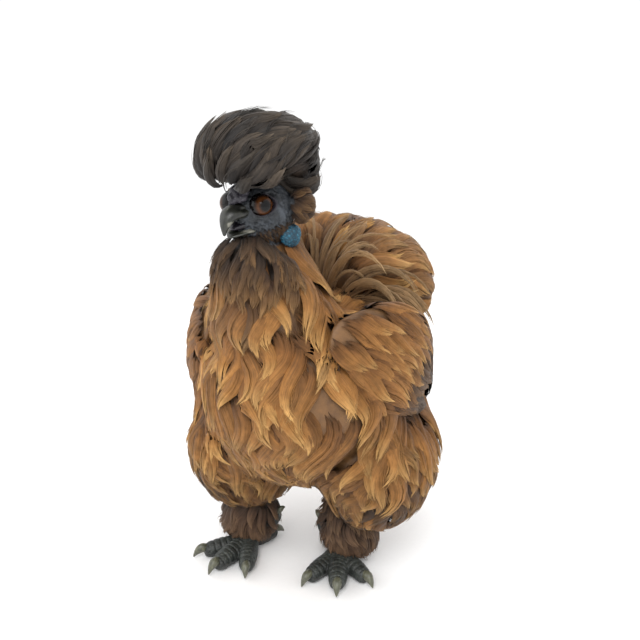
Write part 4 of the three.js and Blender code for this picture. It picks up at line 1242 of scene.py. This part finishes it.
CAMERA_AT = (254.4, -493.6, 341.0)
CAMERA_AZIMUTH = math.radians(25)
CAMERA_ELEVATION = math.radians(14.5)
CAMERA_LENS = 43.4
CAMERA_SENSOR = 36
SKY_STRENGTH = 1.05
LAMPS_AIM = (0, 0, 0.15)
LAMPS = (  # name, place in metres, share of the key light's power and size in metres
    ("key", (0.35, -1.1, 1.25), 1.0, 0.9), ("fill", (-1.1, -0.7, 0.7), 0.3, 1.2),
    ("rim", (0.2, 1.2, 1.1), 0.35, 0.9),
)


def build_stage(settings):
    bm = bmesh.new()
    bmesh.ops.create_grid(bm, x_segments=1, y_segments=1, size=settings.floor / 2)
    floor = bpy.data.objects.new("studio_floor", mesh_of(bm, "floor"))
    bpy.context.scene.collection.objects.link(floor)
    made, tree = new_material("pale_backdrop")
    speck = object_noise(tree, 0.004, 2.0)
    tint = add_node(tree, "ShaderNodeValToRGB", links=[("Fac", speck, "Fac")],
                    stops=[(0.0, "#fafafa"), (1.0, "#ffffff")])
    surface(tree, tint, "Color", 0.9)
    floor.data.materials.append(made)
    world = bpy.data.worlds.new("studio_sky")
    world.use_nodes = True
    world.node_tree.nodes["Background"].inputs["Color"].default_value = linear("#ffffff")
    world.node_tree.nodes["Background"].inputs["Strength"].default_value = SKY_STRENGTH
    bpy.context.scene.world = world
    for name, place, share, size in LAMPS:
        lamp = bpy.data.lights.new(name, "AREA")
        lamp.energy, lamp.size = settings.key * share, size
        holder = bpy.data.objects.new(name + "_light", lamp)
        holder.location = place
        holder.rotation_euler = (Vector(LAMPS_AIM) - Vector(place)).to_track_quat("-Z", "Y").to_euler()
        bpy.context.scene.collection.objects.link(holder)
    bpy.context.scene.view_settings.view_transform = "Standard"
    camera = bpy.data.objects.new("camera", bpy.data.cameras.new("camera"))
    camera.data.lens, camera.data.sensor_width = CAMERA_LENS, CAMERA_SENSOR
    camera.data.clip_start = 0.01
    camera.location = placed(CAMERA_AT)
    camera.rotation_euler = (math.pi / 2 - CAMERA_ELEVATION, 0, CAMERA_AZIMUTH)
    bpy.context.scene.collection.objects.link(camera)
    bpy.context.scene.camera = camera


# Operators and panel


class SILKIE_OT_stage(bpy.types.Operator):
    """Sets up the floor, the soft lights and the camera"""
    bl_idname = "silkie.stage"
    bl_label = "Stage"

    def execute(self, context):
        build_stage(context.scene.silkie_stage)
        return {"FINISHED"}


class SILKIE_OT_skin(bpy.types.Operator):
    """Makes the bird's one skin, bare and folded on the face"""
    bl_idname = "silkie.skin"
    bl_label = "Skin"

    def execute(self, context):
        build_skin(context.scene.silkie_skin)
        return {"FINISHED"}


class SILKIE_OT_eyes(bpy.types.Operator):
    """Makes the eyeballs"""
    bl_idname = "silkie.eyes"
    bl_label = "Eyes"

    def execute(self, context):
        build_eyes()
        return {"FINISHED"}


class SILKIE_OT_bill(bpy.types.Operator):
    """Makes the upper and lower bill and the lining of the mouth"""
    bl_idname = "silkie.bill"
    bl_label = "Bill"

    def execute(self, context):
        build_beak()
        return {"FINISHED"}


class SILKIE_OT_comb(bpy.types.Operator):
    """Makes the comb and the earlobes"""
    bl_idname = "silkie.comb"
    bl_label = "Comb and earlobes"

    def execute(self, context):
        build_comb()
        build_earlobes()
        return {"FINISHED"}


class SILKIE_OT_plumage(bpy.types.Operator):
    """Grows the down of neck, breast, back and thighs"""
    bl_idname = "silkie.plumage"
    bl_label = "Plumage"

    def execute(self, context):
        build_plumage(context.scene.silkie_plumage)
        return {"FINISHED"}


class SILKIE_OT_crest(bpy.types.Operator):
    """Grows the crest"""
    bl_idname = "silkie.crest"
    bl_label = "Crest"

    def execute(self, context):
        build_crest()
        return {"FINISHED"}


class SILKIE_OT_beard(bpy.types.Operator):
    """Grows the beard, the muffs and the bristles of the jaw"""
    bl_idname = "silkie.beard"
    bl_label = "Beard and muffs"

    def execute(self, context):
        build_beard()
        return {"FINISHED"}


class SILKIE_OT_wings(bpy.types.Operator):
    """Grows the down of the folded wings"""
    bl_idname = "silkie.wings"
    bl_label = "Wings"

    def execute(self, context):
        build_wings()
        return {"FINISHED"}


class SILKIE_OT_tail(bpy.types.Operator):
    """Grows the tail's cushion and plumes"""
    bl_idname = "silkie.tail"
    bl_label = "Tail"

    def execute(self, context):
        build_tail()
        return {"FINISHED"}


class SILKIE_OT_shanks(bpy.types.Operator):
    """Grows the down of the shanks"""
    bl_idname = "silkie.shanks"
    bl_label = "Shanks"

    def execute(self, context):
        build_shanks()
        return {"FINISHED"}


class SILKIE_OT_feet(bpy.types.Operator):
    """Makes the scaled toes and the claws"""
    bl_idname = "silkie.feet"
    bl_label = "Feet"

    def execute(self, context):
        build_feet()
        return {"FINISHED"}


OPERATORS = (
    SILKIE_OT_stage, SILKIE_OT_skin, SILKIE_OT_eyes, SILKIE_OT_bill, SILKIE_OT_comb, SILKIE_OT_plumage,
    SILKIE_OT_crest, SILKIE_OT_beard, SILKIE_OT_wings, SILKIE_OT_tail, SILKIE_OT_shanks, SILKIE_OT_feet,
)
SETTINGS = {"silkie_plumage": PlumageSettings, "silkie_skin": SkinSettings, "silkie_stage": StageSettings}


class SILKIE_PT_parts(bpy.types.Panel):
    """Lists the bird's pieces and their settings"""
    bl_label = "Silkie chicken"
    bl_idname = "SILKIE_PT_parts"
    bl_space_type = "VIEW_3D"
    bl_region_type = "UI"
    bl_category = "Silkie"

    def draw(self, context):
        for operator in OPERATORS:
            self.layout.operator(operator.bl_idname)
        for name, group in SETTINGS.items():
            for key in group.__annotations__:
                self.layout.prop(getattr(context.scene, name), key)


def register():
    for each in (*SETTINGS.values(), *OPERATORS, SILKIE_PT_parts):
        bpy.utils.register_class(each)
    for name, group in SETTINGS.items():
        setattr(bpy.types.Scene, name, bpy.props.PointerProperty(type=group))


def unregister():
    for name in SETTINGS:
        delattr(bpy.types.Scene, name)
    for each in (SILKIE_PT_parts, *reversed(OPERATORS), *SETTINGS.values()):
        bpy.utils.unregister_class(each)


def main():
    register()
    for operator in OPERATORS:
        group, action = operator.bl_idname.split(".")
        getattr(getattr(bpy.ops, group), action)()


if __name__ == "__main__":
    main()
